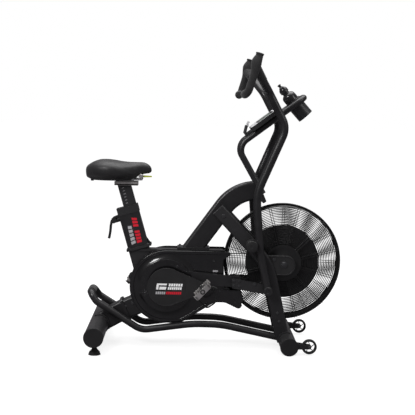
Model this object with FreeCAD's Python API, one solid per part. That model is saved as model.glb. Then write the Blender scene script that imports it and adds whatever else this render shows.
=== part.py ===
"""Air bike: a fan-braked exercise bike with two swinging arms.

Frame of the drawing, in millimetres: +X points forward (rider to fan), +Y to the rider's
left, +Z up.  The origin lies on the floor under the middle of the machine's length and width.
Every solid is written as one STEP file, and each file's name is the name of the piece.
"""
import FreeCAD, Part
import math
import os

# ---------------------------------------------------------------- driving dimensions
SIDES = (("right", -1), ("left", 1))

REAR_X, REAR_Z = -530.0, 90.0        # rear stabiliser axis
REAR_R, REAR_HALF = 44.0, 312.0
FOOT_Y, FOOT_R = 245.0, 28.0         # levelling feet under the rear stabiliser
FRONT_X, FRONT_Z = 347.0, 41.0       # front stabiliser axis
FRONT_R, FRONT_HALF = 39.0, 232.0
WALL = 3.0                           # steel tube wall

WHEEL_X, WHEEL_Z, WHEEL_Y = 440.0, 39.5, 203.0
WHEEL_R, WHEEL_WIDTH = 34.5, 20.0

CRANK_X, CRANK_Z = -215.0, 288.0     # crank axle
CRANK_THROW = 165.0                  # crank axle to pedal axle
LINK_THROW = 46.0                    # crank axle to the connecting link's crank pin
AXLE_R = 10.0
LINK_EYE_R = {"right": 31.0, "left": 20.0}   # the left eye clears the axle from below

FAN_X, FAN_Z = 324.0, 398.0          # fan axle
CAGE_R, CAGE_HALF = 276.0, 58.0      # outer radius and half thickness of the cage
CAGE_SPOKES = 20
DISC_R = 172.0                       # solid disc of the fan rotor
BLADE_ROOT_R, BLADE_HALF = 60.0, 34.0
BELT_Y, BELT_WIDTH, BELT_THICK = 46.0, 11.0, 3.0
DRIVE_PULLEY_R, FAN_PULLEY_R = 125.0, 28.0

SHROUD_HALF = 64.0                   # half width of the belt guard
DRUM_R, DRUM_OUT = 122.0, 96.0       # ribbed drum around each crank, on the guard's face
LEG_IN, LEG_OUT = 78.0, 112.0        # near and far faces of a leg, from the centre plane
LEG_DEPTH = 62.0
SADDLE_WRAP = 6.0                    # thickness of each leg's shoe on the front stabiliser
LINK_IN, LINK_OUT = 74.0, 91.0       # bar of the connecting link
FORK_IN, FORK_OUT = 116.0, 122.0     # plate that carries the bar on to the arm
CRANK_IN, CRANK_OUT = 112.0, 126.0   # crank arm
PLATE_OUT = 129.5                    # outer face of the pear-shaped crank cover
PEDAL_Y, PEDAL_WIDTH = 180.0, 95.0
PEDAL_TILT = 47.0                    # front edge up

PIVOT_X, PIVOT_Z = 169.0, 490.0      # axis on which both arms swing
PIVOT_R, PIVOT_END = 15.0, 178.0
ARM_Y, ARM_R = 146.0, 18.5           # arm tube beside the frame
ARM_END_X, ARM_END_Z = 249.0, 282.0  # pivot between an arm and its link
GRIP_Y, GRIP_R = 322.0, 18.0
GRIP_CORE_R = 12.5                   # steel bar inside each foam grip
FIT = 0.05                           # radial clearance of every running fit

SEAT_LEAN = math.radians(16.2)       # seat tube leans back by this angle
SEAT_X, SEAT_Z = -370.0, 517.0       # a point on the seat tube's centre line
SEAT_TUBE = (96.0, 50.0)             # depth in the centre plane, width
POST = (60.0, 32.0)
POST_SHIFT = 14.0                    # seat post runs forward of the tube's centre line
SADDLE_REAR, SADDLE_NOSE = -597.0, -292.0
CLAMP_REACH = 32.0                   # from the tube's back to the clamp lever's pin
HEAD_Z = 745.0                       # underside of the seat post's head plate
HEAD_SPAN = (-462.0, -362.0)
PAN_Z = HEAD_Z + 24.0                # underside of the steel pan that carries the saddle
LEVER_X, LEVER_Z = -343.0, 787.0     # pin of the saddle's slide lever

MAST_Y, MAST_R = 54.0, 14.0          # console hoop: two parallel tubes
MAST_BEND_X, MAST_BEND_Z = 98.0, 935.0
MAST_SLOPE = math.radians(37.2)
MAST_LENGTH = 380.0                  # from the hoop's bend to its front end
RAIL_Y, RAIL_R = 78.0, 16.0


# ---------------------------------------------------------------- small helpers
def vec(x, y, z):
    return FreeCAD.Vector(x, y, z)


def save(shape, node):
    """Write one closed solid as parts/NODE.step."""
    shape = shape.removeSplitter()
    if len(shape.Solids) == 1:
        shape = shape.Solids[0]
    print(f"{node:24s} valid={shape.isValid()} solids={len(shape.Solids)}"
          f" litres={shape.Volume / 1e6:.3f}")
    shape.exportStep(os.path.join("parts", node + ".step"))


def rod(centre, direction, length, radius):
    """Cylinder that starts at centre and runs along direction."""
    return Part.makeCylinder(radius, length, centre, direction)


def cross_rod(x, z, y0, y1, radius):
    """Cylinder along Y between two distances."""
    low, high = min(y0, y1), max(y0, y1)
    return rod(vec(x, low, z), vec(0, 1, 0), high - low, radius)


def ring(x, z, y0, y1, outer, inner):
    low, high = min(y0, y1), max(y0, y1)
    return cross_rod(x, z, low, high, outer).cut(cross_rod(x, z, low - 1, high + 1, inner))


def block(x0, x1, y0, y1, z0, z1):
    low = vec(min(x0, x1), min(y0, y1), min(z0, z1))
    return Part.makeBox(abs(x1 - x0), abs(y1 - y0), abs(z1 - z0), low)


def rounded_wire(corners, closed):
    """Straight runs joined by tangent arcs.  Each corner is (point, radius)."""
    count = len(corners)
    cuts = []
    for i, (point, radius) in enumerate(corners):
        if (not closed and i in (0, count - 1)) or radius == 0:
            cuts.append((point, point, None))
            continue
        back = (corners[i - 1][0] - point).normalize()
        ahead = (corners[(i + 1) % count][0] - point).normalize()
        half = back.getAngle(ahead) / 2
        bisector = (back + ahead).normalize()
        reach = radius / math.tan(half)
        middle = point + bisector * (radius / math.sin(half) - radius)
        cuts.append((point + back * reach, point + ahead * reach, middle))
    edges = []
    for i, (start, end, middle) in enumerate(cuts):
        if middle is not None:
            edges.append(Part.Arc(start, middle, end).toShape())
        if i < count - 1 or closed:
            following = cuts[(i + 1) % count][0]
            if (following - end).Length > 1e-6:
                edges.append(Part.LineSegment(end, following).toShape())
    return Part.Wire(edges)


def slab(outline, y0, y1):
    """Solid between two Y planes.  The outline is a list of (x, z, corner radius)."""
    low, high = min(y0, y1), max(y0, y1)
    corners = [(vec(x, low, z), radius) for x, z, radius in outline]
    face = Part.Face(rounded_wire(corners, True))
    return face.extrude(vec(0, high - low, 0))


def sweep(points, section):
    """Solid swept along a path.  section(at, along) gives the profile wire."""
    path = rounded_wire(points, False)
    along = (points[1][0] - points[0][0]).normalize()
    return path.makePipeShell([section(points[0][0], along)], True, False)


def round_section(radius):
    return lambda at, along: Part.Wire(Part.Circle(at, along, radius).toShape())


def box_section(width, depth, corner):
    """Rounded rectangle, its width along Y and its depth across the path."""
    def section(at, along):
        side = vec(0, width / 2, 0)
        up = along.cross(vec(0, 1, 0)).normalize() * (depth / 2)
        corners = (at + side + up, at - side + up, at - side - up, at + side - up)
        return rounded_wire([(point, corner) for point in corners], True)
    return section


def round_tube(points, radius, wall=WALL):
    return sweep(points, round_section(radius)).cut(sweep(points, round_section(radius - wall)))


def box_tube(points, width, depth, corner=8.0, wall=WALL):
    inner = box_section(width - 2 * wall, depth - 2 * wall, corner - wall)
    return sweep(points, box_section(width, depth, corner)).cut(sweep(points, inner))


def seat_point(along, ahead):
    """Point (x, z) at a distance up the seat tube's centre line and ahead of it."""
    x = SEAT_X - along * math.sin(SEAT_LEAN) + ahead * math.cos(SEAT_LEAN)
    z = SEAT_Z + along * math.cos(SEAT_LEAN) + ahead * math.sin(SEAT_LEAN)
    return x, z


def seat_block(along0, along1, ahead0, ahead1, half_width, corner=0.0):
    """Block aligned with the leaning seat tube."""
    outline = [seat_point(*place) + (corner,) for place in
               ((along0, ahead0), (along0, ahead1), (along1, ahead1), (along1, ahead0))]
    return slab(outline, -half_width, half_width)


def mast_point(along, above):
    """Point (x, z) on the console's slope, measured from the mast's bend."""
    x = MAST_BEND_X + along * math.cos(MAST_SLOPE) - above * math.sin(MAST_SLOPE)
    z = MAST_BEND_Z + along * math.sin(MAST_SLOPE) + above * math.cos(MAST_SLOPE)
    return x, z


def mast_block(along0, along1, above0, above1, y0, y1, corner=0.0):
    outline = [mast_point(*place) + (corner,) for place in
               ((along0, above0), (along1, above0), (along1, above1), (along0, above1))]
    return slab(outline, y0, y1)


# ---------------------------------------------------------------- base of the frame
LEG_PATH = ((17.0, 644.0, 0.0), (248.0, 402.0, 300.0), (328.0, 52.0, 0.0))


def leg_points(side):
    y = side * (LEG_IN + LEG_OUT) / 2
    return [(vec(x, y, z), radius) for x, z, radius in LEG_PATH]


def leg_solid(side):
    return sweep(leg_points(side), box_section(LEG_OUT - LEG_IN, LEG_DEPTH, 9.0))


def front_tube_solid(radius=FRONT_R):
    return cross_rod(FRONT_X, FRONT_Z, -FRONT_HALF, FRONT_HALF, radius)


def leg(side):
    """Brace and leg in one bent tube, with a closed upper end and a saddle on its foot."""
    hollow = box_tube(leg_points(side), LEG_OUT - LEG_IN, LEG_DEPTH, 9.0)
    top = leg_points(side)[0][0]
    down = (leg_points(side)[1][0] - top).normalize()
    section = box_section(LEG_OUT - LEG_IN, LEG_DEPTH, 9.0)
    closure = Part.Face(section(top, down)).extrude(down * -4)
    saddle = ring(FRONT_X, FRONT_Z, side * (LEG_IN - 12), side * (LEG_OUT + 12),
                  FRONT_R + SADDLE_WRAP, FRONT_R)
    saddle = saddle.common(block(FRONT_X - 60, FRONT_X + 14, -200, 200, FRONT_Z - 6, 200))
    bored = hollow.fuse(closure).cut(front_tube_solid())
    bored = bored.cut(cross_rod(PIVOT_X, PIVOT_Z, side * 60, side * 130, PIVOT_R))
    return bored.fuse(saddle.cut(sweep(leg_points(side), section)))


def front_stabiliser():
    half = FRONT_HALF - 8
    return ring(FRONT_X, FRONT_Z, -half, half, FRONT_R, FRONT_R - WALL)


def front_cap(side):
    """Plastic end cap that also stands on the floor, on a small flat."""
    face = cross_rod(FRONT_X, FRONT_Z, side * (FRONT_HALF - 8), side * FRONT_HALF, FRONT_Z + 0.5)
    plug = cross_rod(FRONT_X, FRONT_Z, side * (FRONT_HALF - 28), side * (FRONT_HALF - 8),
                     FRONT_R - WALL)
    rounded = face.makeFillet(2.5, [outer_circle(face, side)])
    return rounded.cut(block(FRONT_X - 50, FRONT_X + 50, -300, 300, -10, 0)).fuse(plug)


def outer_circle(shape, side):
    """Round edge of a cylinder along Y that lies furthest out on one side."""
    circles = [edge for edge in shape.Edges if isinstance(edge.Curve, Part.Circle)]
    return max(circles, key=lambda edge: side * edge.CenterOfMass.y)


def rear_stabiliser():
    half = REAR_HALF - 8
    tube = ring(REAR_X, REAR_Z, -half, half, REAR_R, REAR_R - WALL)
    for _, side in SIDES:
        hole = rod(vec(REAR_X, side * FOOT_Y, 0), vec(0, 0, 1), REAR_Z, 6 + FIT)
        tube = tube.cut(hole)
    return tube


def rear_cap(side):
    face = cross_rod(REAR_X, REAR_Z, side * (REAR_HALF - 8), side * REAR_HALF, REAR_R + 1)
    plug = cross_rod(REAR_X, REAR_Z, side * (REAR_HALF - 28), side * (REAR_HALF - 8),
                     REAR_R - WALL)
    return face.makeFillet(2.5, [outer_circle(face, side)]).fuse(plug)


def foot(side):
    """Levelling foot on a threaded stud."""
    y = side * FOOT_Y
    up = vec(0, 0, 1)
    pad = Part.makeCone(FOOT_R, FOOT_R - 6, 15, vec(REAR_X, y, 0), up)
    neck = rod(vec(REAR_X, y, 15), up, 6, 17)
    nut = rod(vec(REAR_X, y, 21), up, 7, 12)
    stud = rod(vec(REAR_X, y, 28), up, REAR_Z - REAR_R, 6)
    return pad.fuse([neck, nut, stud]).removeSplitter()


STRUT = ((-530.0, 92.0, 0.0), (-425.0, 150.0, 220.0), (-313.0, 200.0, 0.0))


STRUT_SIZE = (70.0, 92.0)            # width, depth


def strut():
    """Rectangular tube from the rear stabiliser up into the guard, with a bolted flange."""
    points = [(vec(x, 0, z), radius) for x, z, radius in STRUT]
    tube = box_tube(points, STRUT_SIZE[0], STRUT_SIZE[1], 10)
    tube = tube.cut(cross_rod(REAR_X, REAR_Z, -90, 90, REAR_R))
    saddle = ring(REAR_X, REAR_Z, -52, 52, REAR_R + 5, REAR_R)
    saddle = saddle.common(block(REAR_X - 20, REAR_X + 60, -60, 60, REAR_Z - 50, REAR_Z + 60))
    solid = strut_envelope(0.0)
    along = (points[2][0] - points[1][0]).normalize()
    at = points[1][0] + along * 12
    wide = box_section(STRUT_SIZE[0] + 16, STRUT_SIZE[1] + 16, 10)
    flange = Part.Face(wide(at, along)).extrude(along * 14)
    flange = flange.cut(solid)
    return tube.fuse([saddle.cut(solid), flange])


GRIP_BAR_X, GRIP_BAR_Z = -566.0, 244.0     # cross piece of the lift handle


def rail_points():
    side = ((312.0, 50.0, 0.0), (40.0, 106.0, 500.0), (-90.0, 108.0, 600.0),
            (-330.0, 74.0, 90.0), (-540.0, 206.0, 50.0))
    points = [(vec(x, -RAIL_Y, z), radius) for x, z, radius in side]
    points += [(vec(GRIP_BAR_X, -RAIL_Y + 6, GRIP_BAR_Z), 26.0),
               (vec(GRIP_BAR_X, RAIL_Y - 6, GRIP_BAR_Z), 26.0)]
    points += [(vec(x, RAIL_Y, z), radius) for x, z, radius in reversed(side)]
    return points


def rail_hoop():
    """Lower rails and rear lift handle: one long hoop of round tube."""
    hoop = sweep(rail_points(), round_section(RAIL_R))
    bore = sweep(rail_points(), round_section(RAIL_R - 2.5))
    hoop = hoop.cut(bore).cut(cross_rod(REAR_X, REAR_Z, -200, 200, REAR_R))
    for _, side in SIDES:
        hoop = hoop.cut(leg_solid(side))
    hoop = hoop.cut(front_tube_solid(FRONT_R + SADDLE_WRAP))
    return max(hoop.Solids, key=lambda solid: solid.Volume)


def lift_grip():
    """Rubber sleeve on the cross piece of the lift handle."""
    return ring(GRIP_BAR_X, GRIP_BAR_Z, -40, 40, RAIL_R + 3, RAIL_R)


# ---------------------------------------------------------------- upper frame
ARCH = ((-134.0, 400.0, 0.0), (98.0, 725.0, 190.0), (218.0, 731.0, 0.0))
CROSS_X, CROSS_Z = 41.0, 619.0
SHELF_Z = 452.0                      # top of the guard and of the shelf below it


def arch_points():
    return [(vec(x, 0, z), radius) for x, z, radius in ARCH]


def arch_envelope():
    """Outside of the arch with the plate that closes its front end."""
    section = box_section(60, 88, 12)
    end = arch_points()[2][0]
    run = (end - arch_points()[1][0]).normalize()
    return sweep(arch_points(), section).fuse(Part.Face(section(end, run)).extrude(run * 4))


def main_arch():
    """Big arch with its base plate, and the cross tube that ties both braces to it."""
    inner = sweep(arch_points(), box_section(60 - 2 * WALL, 88 - 2 * WALL, 12 - WALL))
    tube = arch_envelope().cut(inner).cut(block(-300, 100, -90, 90, 300, SHELF_Z + 1))
    base = block(-170, -20, -42, 42, SHELF_Z + 1, SHELF_Z + 8).cut(arch_envelope())
    cross = ring(CROSS_X, CROSS_Z, -LEG_IN, LEG_IN, 22, 19)
    return tube.fuse(base).cut(cross_rod(CROSS_X, CROSS_Z, -90, 90, 22)).fuse(cross)


def keel():
    """Inner beam that carries the crank bearings, the seat tube and the arch."""
    path = ((-313.0, 200.0, 0.0), (-225.0, 222.0, 60.0), (-96.0, SHELF_Z, 0.0))
    beam = box_tube([(vec(x, 0, z), radius) for x, z, radius in path], 50, 60, 8)
    shell = cross_rod(CRANK_X, CRANK_Z, -46, BELT_Y - 8, 26)
    web = block(CRANK_X, CRANK_X + 44, -20, 20, CRANK_Z - 16, CRANK_Z + 16)
    shelf = block(-348, 44, -30, 30, SHELF_Z - 16, SHELF_Z - 4)
    beam = beam.cut(block(-400, 200, -60, 60, SHELF_Z - 16, SHELF_Z + 90))
    riser = block(-150, -40, -30, 30, SHELF_Z - 4, SHELF_Z + 1)
    body = beam.fuse([shell, web, shelf, riser]).cut(seat_envelope(0.0)).cut(seat_flange(0.0))
    return body.cut(cross_rod(CRANK_X, CRANK_Z, -80, 80, AXLE_R + FIT))


def seat_envelope(gap):
    """Outside of the seat tube's leaning box, with a gap around it."""
    half_depth, half_width = SEAT_TUBE[0] / 2 + gap, SEAT_TUBE[1] / 2 + gap
    return seat_block(-178 - gap, 128 + gap, -half_depth, half_depth, half_width)


def seat_flange(gap):
    half_depth, half_width = SEAT_TUBE[0] / 2, SEAT_TUBE[1] / 2
    return seat_block(-72 - gap, -62 + gap, -half_depth - 8 - gap, half_depth + 14 + gap,
                      half_width + 12 + gap)


def backward():
    """Unit vector out of the back of the leaning seat tube."""
    return vec(-math.cos(SEAT_LEAN), 0, -math.sin(SEAT_LEAN))


def seat_tube():
    """Leaning rectangular tube with a flange, a guide collar and a clamp boss."""
    half_depth, half_width = SEAT_TUBE[0] / 2, SEAT_TUBE[1] / 2
    hollow = seat_block(-175, 40, -half_depth + WALL, half_depth - WALL, half_width - WALL)
    guide = seat_block(98, 134, -half_depth - 2.5, half_depth + 2.5, half_width + 2.5)
    gusset = slab([seat_point(-64, half_depth - 1) + (0,), seat_point(-64, half_depth + 14) + (0,),
                   seat_point(-24, half_depth - 1) + (0,)], -6, 6)
    x, z = seat_point(84, -half_depth + 2)
    boss = rod(vec(x, 0, z), backward(), CLAMP_REACH + 8, 13)
    body = seat_envelope(0.0).fuse([guide, seat_flange(0.0), gusset, boss]).cut(hollow)
    post_low, post_high = POST_SHIFT - POST[0] / 2 - 0.3, POST_SHIFT + POST[0] / 2 + 0.3
    body = body.cut(seat_block(20, 150, post_low, post_high, POST[1] / 2 + 0.3))
    clamp_x, clamp_z = clamp_axis()
    return body.cut(cross_rod(clamp_x, clamp_z, -40, 40, 4 + FIT))


def clamp_axis():
    x, z = seat_point(84, -SEAT_TUBE[0] / 2 + 2)
    at = vec(x, 0, z) + backward() * CLAMP_REACH
    return at.x, at.z


# ---------------------------------------------------------------- guard and fan cage
SHROUD = ((-388.0, SHELF_Z + 1, 172.0), (-388.0, 105.0, 172.0), (-149.0, 105.0, 60.0),
          (9.0, 206.0, 60.0), (58.0, 206.0, 50.0), (128.0, 173.0, 16.0), (154.0, 222.0, 16.0),
          (134.0, 274.0, 14.0), (50.0, 274.0, 12.0), (50.0, 403.0, 12.0), (88.0, 426.0, 12.0),
          (86.0, SHELF_Z + 1, 13.0))


def inset(outline, gap):
    """Outline moved inwards by a gap.  Its corners run anticlockwise, seen from the right."""
    moved = []
    count = len(outline)
    for i, (x, z, radius) in enumerate(outline):
        before, after = outline[i - 1], outline[(i + 1) % count]
        run_in = vec(x - before[0], 0, z - before[1]).normalize()
        run_out = vec(after[0] - x, 0, after[1] - z).normalize()
        normal_in = vec(-run_in.z, 0, run_in.x)
        normal_out = vec(-run_out.z, 0, run_out.x)
        shift = (normal_in + normal_out) * (gap / (1 + normal_in.dot(normal_out)))
        convex = run_in.x * run_out.z - run_in.z * run_out.x > 0
        moved.append((x + shift.x, z + shift.z, radius - gap if convex else radius + gap))
    return moved


def strut_envelope(gap):
    points = [(vec(x, 0, z), radius) for x, z, radius in STRUT]
    return sweep(points, box_section(STRUT_SIZE[0] + 2 * gap, STRUT_SIZE[1] + 2 * gap, 10))


def belt_window():
    """Space kept free for the belt on its way from the guard to the fan."""
    return block(20, FAN_X, BELT_Y - 9, BELT_Y + 9, 250, 440)


def shroud_half(side):
    """Half of the guard: a hollow shell with a raised face and a drum around the crank."""
    skin, step = 3.0, 8.0
    split = 0.3 * side
    outer = slab(SHROUD, split, side * (SHROUD_HALF - step))
    raised = slab(inset(SHROUD, step), split, side * SHROUD_HALF)
    hollow = slab(inset(SHROUD, skin), 0, side * (SHROUD_HALF - step - skin))
    pocket = slab(inset(SHROUD, step + skin), 0, side * (SHROUD_HALF - skin))
    shell = outer.fuse(raised).cut(hollow).cut(pocket)
    shell = shell.cut(cross_rod(CRANK_X, CRANK_Z, 40 * side, 90 * side, 34))
    shell = shell.cut(block(-352, 90, -43, 43, SHELF_Z - 6, SHELF_Z + 20))
    shell = shell.cut(block(-352, -230, -31, 31, SHELF_Z - 17, SHELF_Z + 20))
    shell = shell.cut(strut_envelope(1.0)).cut(seat_envelope(1.0)).cut(seat_flange(1.0))
    cage = cross_rod(FAN_X, FAN_Z, -CAGE_HALF - 1, CAGE_HALF + 1, CAGE_R + 1)
    shell = shell.cut(cage).cut(belt_window())
    return max(shell.Solids, key=lambda solid: solid.Volume)


def crank_drum(side):
    """Ribbed ring around the crank, open in front for the connecting link."""
    wall = ring(CRANK_X, CRANK_Z, side * SHROUD_HALF, side * DRUM_OUT, DRUM_R, DRUM_R - 3)
    gate = block(CRANK_X, CRANK_X + 200, side * (LINK_IN - 6), side * (LINK_OUT + 1.5),
                 CRANK_Z - 92, CRANK_Z + 92)
    face = ring(CRANK_X, CRANK_Z, side * (DRUM_OUT - 3), side * DRUM_OUT, DRUM_R, 84)
    ribs = []
    count = 60
    for i in range(count):
        rib = block(90, 116, DRUM_OUT, DRUM_OUT + 1.2, -0.9, 0.9)
        rib.rotate(vec(0, 0, 0), vec(0, 1, 0), 360.0 / count * i)
        rib.translate(vec(CRANK_X, 0, CRANK_Z))
        if side < 0:
            rib = rib.mirror(vec(0, 0, 0), vec(0, 1, 0))
        ribs.append(rib)
    return wall.cut(gate).fuse([face] + ribs)


def cage_grille(side):
    """Flat face of the cage: three rings of slots and a solid hub cover."""
    face_in, face_out = side * (CAGE_HALF - 3), side * CAGE_HALF
    face = ring(FAN_X, FAN_Z, face_in, face_out, CAGE_R - 8, 30)
    holes = []
    for i in range(CAGE_SPOKES):
        turn = 360.0 / CAGE_SPOKES * i
        for r0, r1 in ((88, 138), (142, 192), (196, 254)):
            angle = 360.0 / CAGE_SPOKES - math.degrees(5.0 / r0)
            cell = Part.makeCylinder(r1, 10, vec(0, 0, 0), vec(0, 1, 0), angle)
            cell = cell.cut(Part.makeCylinder(r0, 10, vec(0, 0, 0), vec(0, 1, 0)))
            cell.rotate(vec(0, 0, 0), vec(0, 1, 0), turn)
            cell.translate(vec(FAN_X, side * (CAGE_HALF - 2) - 5, FAN_Z))
            holes.append(cell)
    return face.cut(Part.makeCompound(holes))


def cage_rim():
    """Flange ring between both faces of the cage, with the slotted wall on each side of it."""
    flange = ring(FAN_X, FAN_Z, -5, 5, CAGE_R, CAGE_R - 11)
    wall = ring(FAN_X, FAN_Z, -CAGE_HALF + 3, CAGE_HALF - 3, CAGE_R - 8, CAGE_R - 11)
    slots = []
    for _, side in SIDES:
        for i in range(CAGE_SPOKES):
            slot = block(CAGE_R - 30, CAGE_R, -20, 20, -32, 32)
            slot.rotate(vec(0, 0, 0), vec(0, 1, 0), 360.0 / CAGE_SPOKES * i)
            slot.translate(vec(FAN_X, side * 29, FAN_Z))
            slots.append(slot)
    return wall.cut(Part.makeCompound(slots)).cut(belt_window()).fuse(flange)


def axle_bracket(side):
    """D-shaped bracket from the leg to the fan axle."""
    low, high = FAN_Z - 51.0, FAN_Z + 41.0
    middle, radius = (low + high) / 2, (high - low) / 2
    nose_x = FAN_X + 8
    tongue = slab([(190, high, 0), (nose_x, high, 0), (nose_x, low, 0), (190, low, 0)],
                  side * 84, side * 100)
    nose = cross_rod(nose_x, middle, side * 84, side * 100, radius)
    bracket = tongue.fuse(nose).cut(leg_solid(side))
    bracket = max(bracket.Solids, key=lambda solid: solid.BoundBox.XMax)
    return bracket.cut(cross_rod(FAN_X, FAN_Z, side * 80, side * 110, 10))


def fan_axle():
    return cross_rod(FAN_X, FAN_Z, -104, 104, 10)


def fan_rotor():
    """Disc with flat radial blades on both faces, hub and small pulley, on the fan axle."""
    disc = cross_rod(FAN_X, FAN_Z, -3, 3, DISC_R)
    hub = cross_rod(FAN_X, FAN_Z, -40, BELT_Y + 6, 22)
    pulley = cross_rod(FAN_X, FAN_Z, BELT_Y - 5.5, BELT_Y + 5.5, FAN_PULLEY_R)
    blades = []
    count = 12
    for i in range(count):
        blade = block(BLADE_ROOT_R, DISC_R - 2, -BLADE_HALF, BLADE_HALF, -1.5, 1.5)
        blade.rotate(vec(0, 0, 0), vec(0, 1, 0), 360.0 / count * (i + 0.5))
        blade.translate(vec(FAN_X, 0, FAN_Z))
        blades.append(blade)
    return disc.fuse([hub, pulley] + blades).cut(
        cross_rod(FAN_X, FAN_Z, -80, 90, 10 + FIT))


def belt():
    """Flat belt around the drive pulley and the fan pulley."""
    dx, dz = FAN_X - CRANK_X, FAN_Z - CRANK_Z
    reach = math.hypot(dx, dz)
    heading = math.atan2(dz, dx)
    spread = math.acos((DRIVE_PULLEY_R - FAN_PULLEY_R) / reach)

    def loop(extra):
        def on(cx, cz, radius, angle):
            return vec(cx + radius * math.cos(angle), BELT_Y - BELT_WIDTH / 2,
                       cz + radius * math.sin(angle))
        big, small = DRIVE_PULLEY_R + extra, FAN_PULLEY_R + extra
        up, down = heading + spread, heading - spread
        edges = [
            Part.Arc(on(CRANK_X, CRANK_Z, big, up), on(CRANK_X, CRANK_Z, big, heading + math.pi),
                     on(CRANK_X, CRANK_Z, big, down)).toShape(),
            Part.LineSegment(on(CRANK_X, CRANK_Z, big, down),
                             on(FAN_X, FAN_Z, small, down)).toShape(),
            Part.Arc(on(FAN_X, FAN_Z, small, down), on(FAN_X, FAN_Z, small, heading),
                     on(FAN_X, FAN_Z, small, up)).toShape(),
            Part.LineSegment(on(FAN_X, FAN_Z, small, up),
                             on(CRANK_X, CRANK_Z, big, up)).toShape()]
        return Part.Face(Part.Wire(edges)).extrude(vec(0, BELT_WIDTH, 0))
    return loop(0.3 + BELT_THICK).cut(loop(0.3))


# ---------------------------------------------------------------- crank, pedals and links
def crank_axle():
    return cross_rod(CRANK_X, CRANK_Z, -CRANK_IN, CRANK_IN, AXLE_R)


def drive_pulley():
    wheel = ring(CRANK_X, CRANK_Z, BELT_Y - 5.5, BELT_Y + 5.5, DRIVE_PULLEY_R, AXLE_R)
    for i in range(6):
        angle = math.radians(60 * i)
        x, z = CRANK_X + 72 * math.cos(angle), CRANK_Z + 72 * math.sin(angle)
        wheel = wheel.cut(cross_rod(x, z, BELT_Y - 10, BELT_Y + 10, 27))
    return wheel


def crank_arm(side):
    """Crank, with the pedal axle at its tip and the link's crank pin on its inner face.

    The right crank points forward at rest and the left one backward.
    """
    way = -side
    tip = CRANK_X + way * CRANK_THROW
    inner, outer = side * CRANK_IN, side * CRANK_OUT
    hub = cross_rod(CRANK_X, CRANK_Z, inner, outer, 27)
    eye = cross_rod(tip, CRANK_Z, inner, outer, 17)
    bar = block(CRANK_X, tip, inner, outer, CRANK_Z - 15, CRANK_Z + 15)
    web = block(CRANK_X - 13, CRANK_X + 13, inner, outer, CRANK_Z, CRANK_Z + way * LINK_THROW)
    pin_z = CRANK_Z + way * LINK_THROW
    pad = cross_rod(CRANK_X, pin_z, inner, outer, 16)
    pin = cross_rod(CRANK_X, pin_z, side * (LINK_OUT + 1.5), inner, 9)
    spindle = cross_rod(tip, CRANK_Z, outer, side * (PEDAL_Y + PEDAL_WIDTH / 2 - 6), 7)
    return hub.fuse([eye, bar, web, pad, pin, spindle])


def crank_plate(side):
    """Pear-shaped cover on the crank's outer face."""
    way = -side
    big, small = 88.0, 24.0
    tip = CRANK_X + way * CRANK_THROW
    lean = math.acos((big - small) / CRANK_THROW)
    inner, outer = side * CRANK_OUT, side * PLATE_OUT
    taper = slab([(CRANK_X + way * big * math.cos(lean), CRANK_Z + big * math.sin(lean), 0),
                  (tip + way * small * math.cos(lean), CRANK_Z + small * math.sin(lean), 0),
                  (tip + way * small * math.cos(lean), CRANK_Z - small * math.sin(lean), 0),
                  (CRANK_X + way * big * math.cos(lean), CRANK_Z - big * math.sin(lean), 0)],
                 inner, outer)
    disc = cross_rod(CRANK_X, CRANK_Z, inner, outer, big)
    nose = cross_rod(tip, CRANK_Z, inner, outer, small)
    hole = cross_rod(tip, CRANK_Z, inner - side, outer + side, 7)
    return disc.fuse([taper, nose]).cut(hole)


def pedal(side):
    """Pedal body with a toe loop that hangs below it, turning on the crank's spindle."""
    x = CRANK_X - side * CRANK_THROW
    low, high = side * (PEDAL_Y - PEDAL_WIDTH / 2), side * (PEDAL_Y + PEDAL_WIDTH / 2)
    barrel = cross_rod(x, CRANK_Z, side * (PLATE_OUT + 1), high, 13)
    rails = [block(x - 42, x + 42, y - 4, y + 4, CRANK_Z - 13, CRANK_Z + 13)
             for y in (low + side * 4, high - side * 4)]
    bars = [block(x + a - 4, x + a + 4, low, high, CRANK_Z - 13, CRANK_Z + 13)
            for a in (-38, 38)]
    loop_out = slab([(x - 44, CRANK_Z - 13, 0), (x - 52, CRANK_Z - 74, 18),
                     (x + 6, CRANK_Z - 86, 26), (x + 42, CRANK_Z - 13, 0)],
                    side * (PEDAL_Y - 12), side * (PEDAL_Y + 12))
    loop_in = slab([(x - 40.5, CRANK_Z - 12, 0), (x - 48, CRANK_Z - 71, 15),
                    (x + 4, CRANK_Z - 82, 23), (x + 38, CRANK_Z - 12, 0)],
                   side * (PEDAL_Y - 20), side * (PEDAL_Y + 20))
    bridges = [block(x + a - 4, x + a + 4, low, high, CRANK_Z - 15, CRANK_Z - 11)
               for a in (-40, 38)]
    body = barrel.fuse(rails + bars + bridges + [loop_out.cut(loop_in)])
    body = body.cut(cross_rod(x, CRANK_Z, side * 120, side * (PEDAL_Y + PEDAL_WIDTH / 2 - 5),
                              7 + FIT))
    body.rotate(vec(x, 0, CRANK_Z), vec(0, 1, 0), -PEDAL_TILT)
    return body


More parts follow.
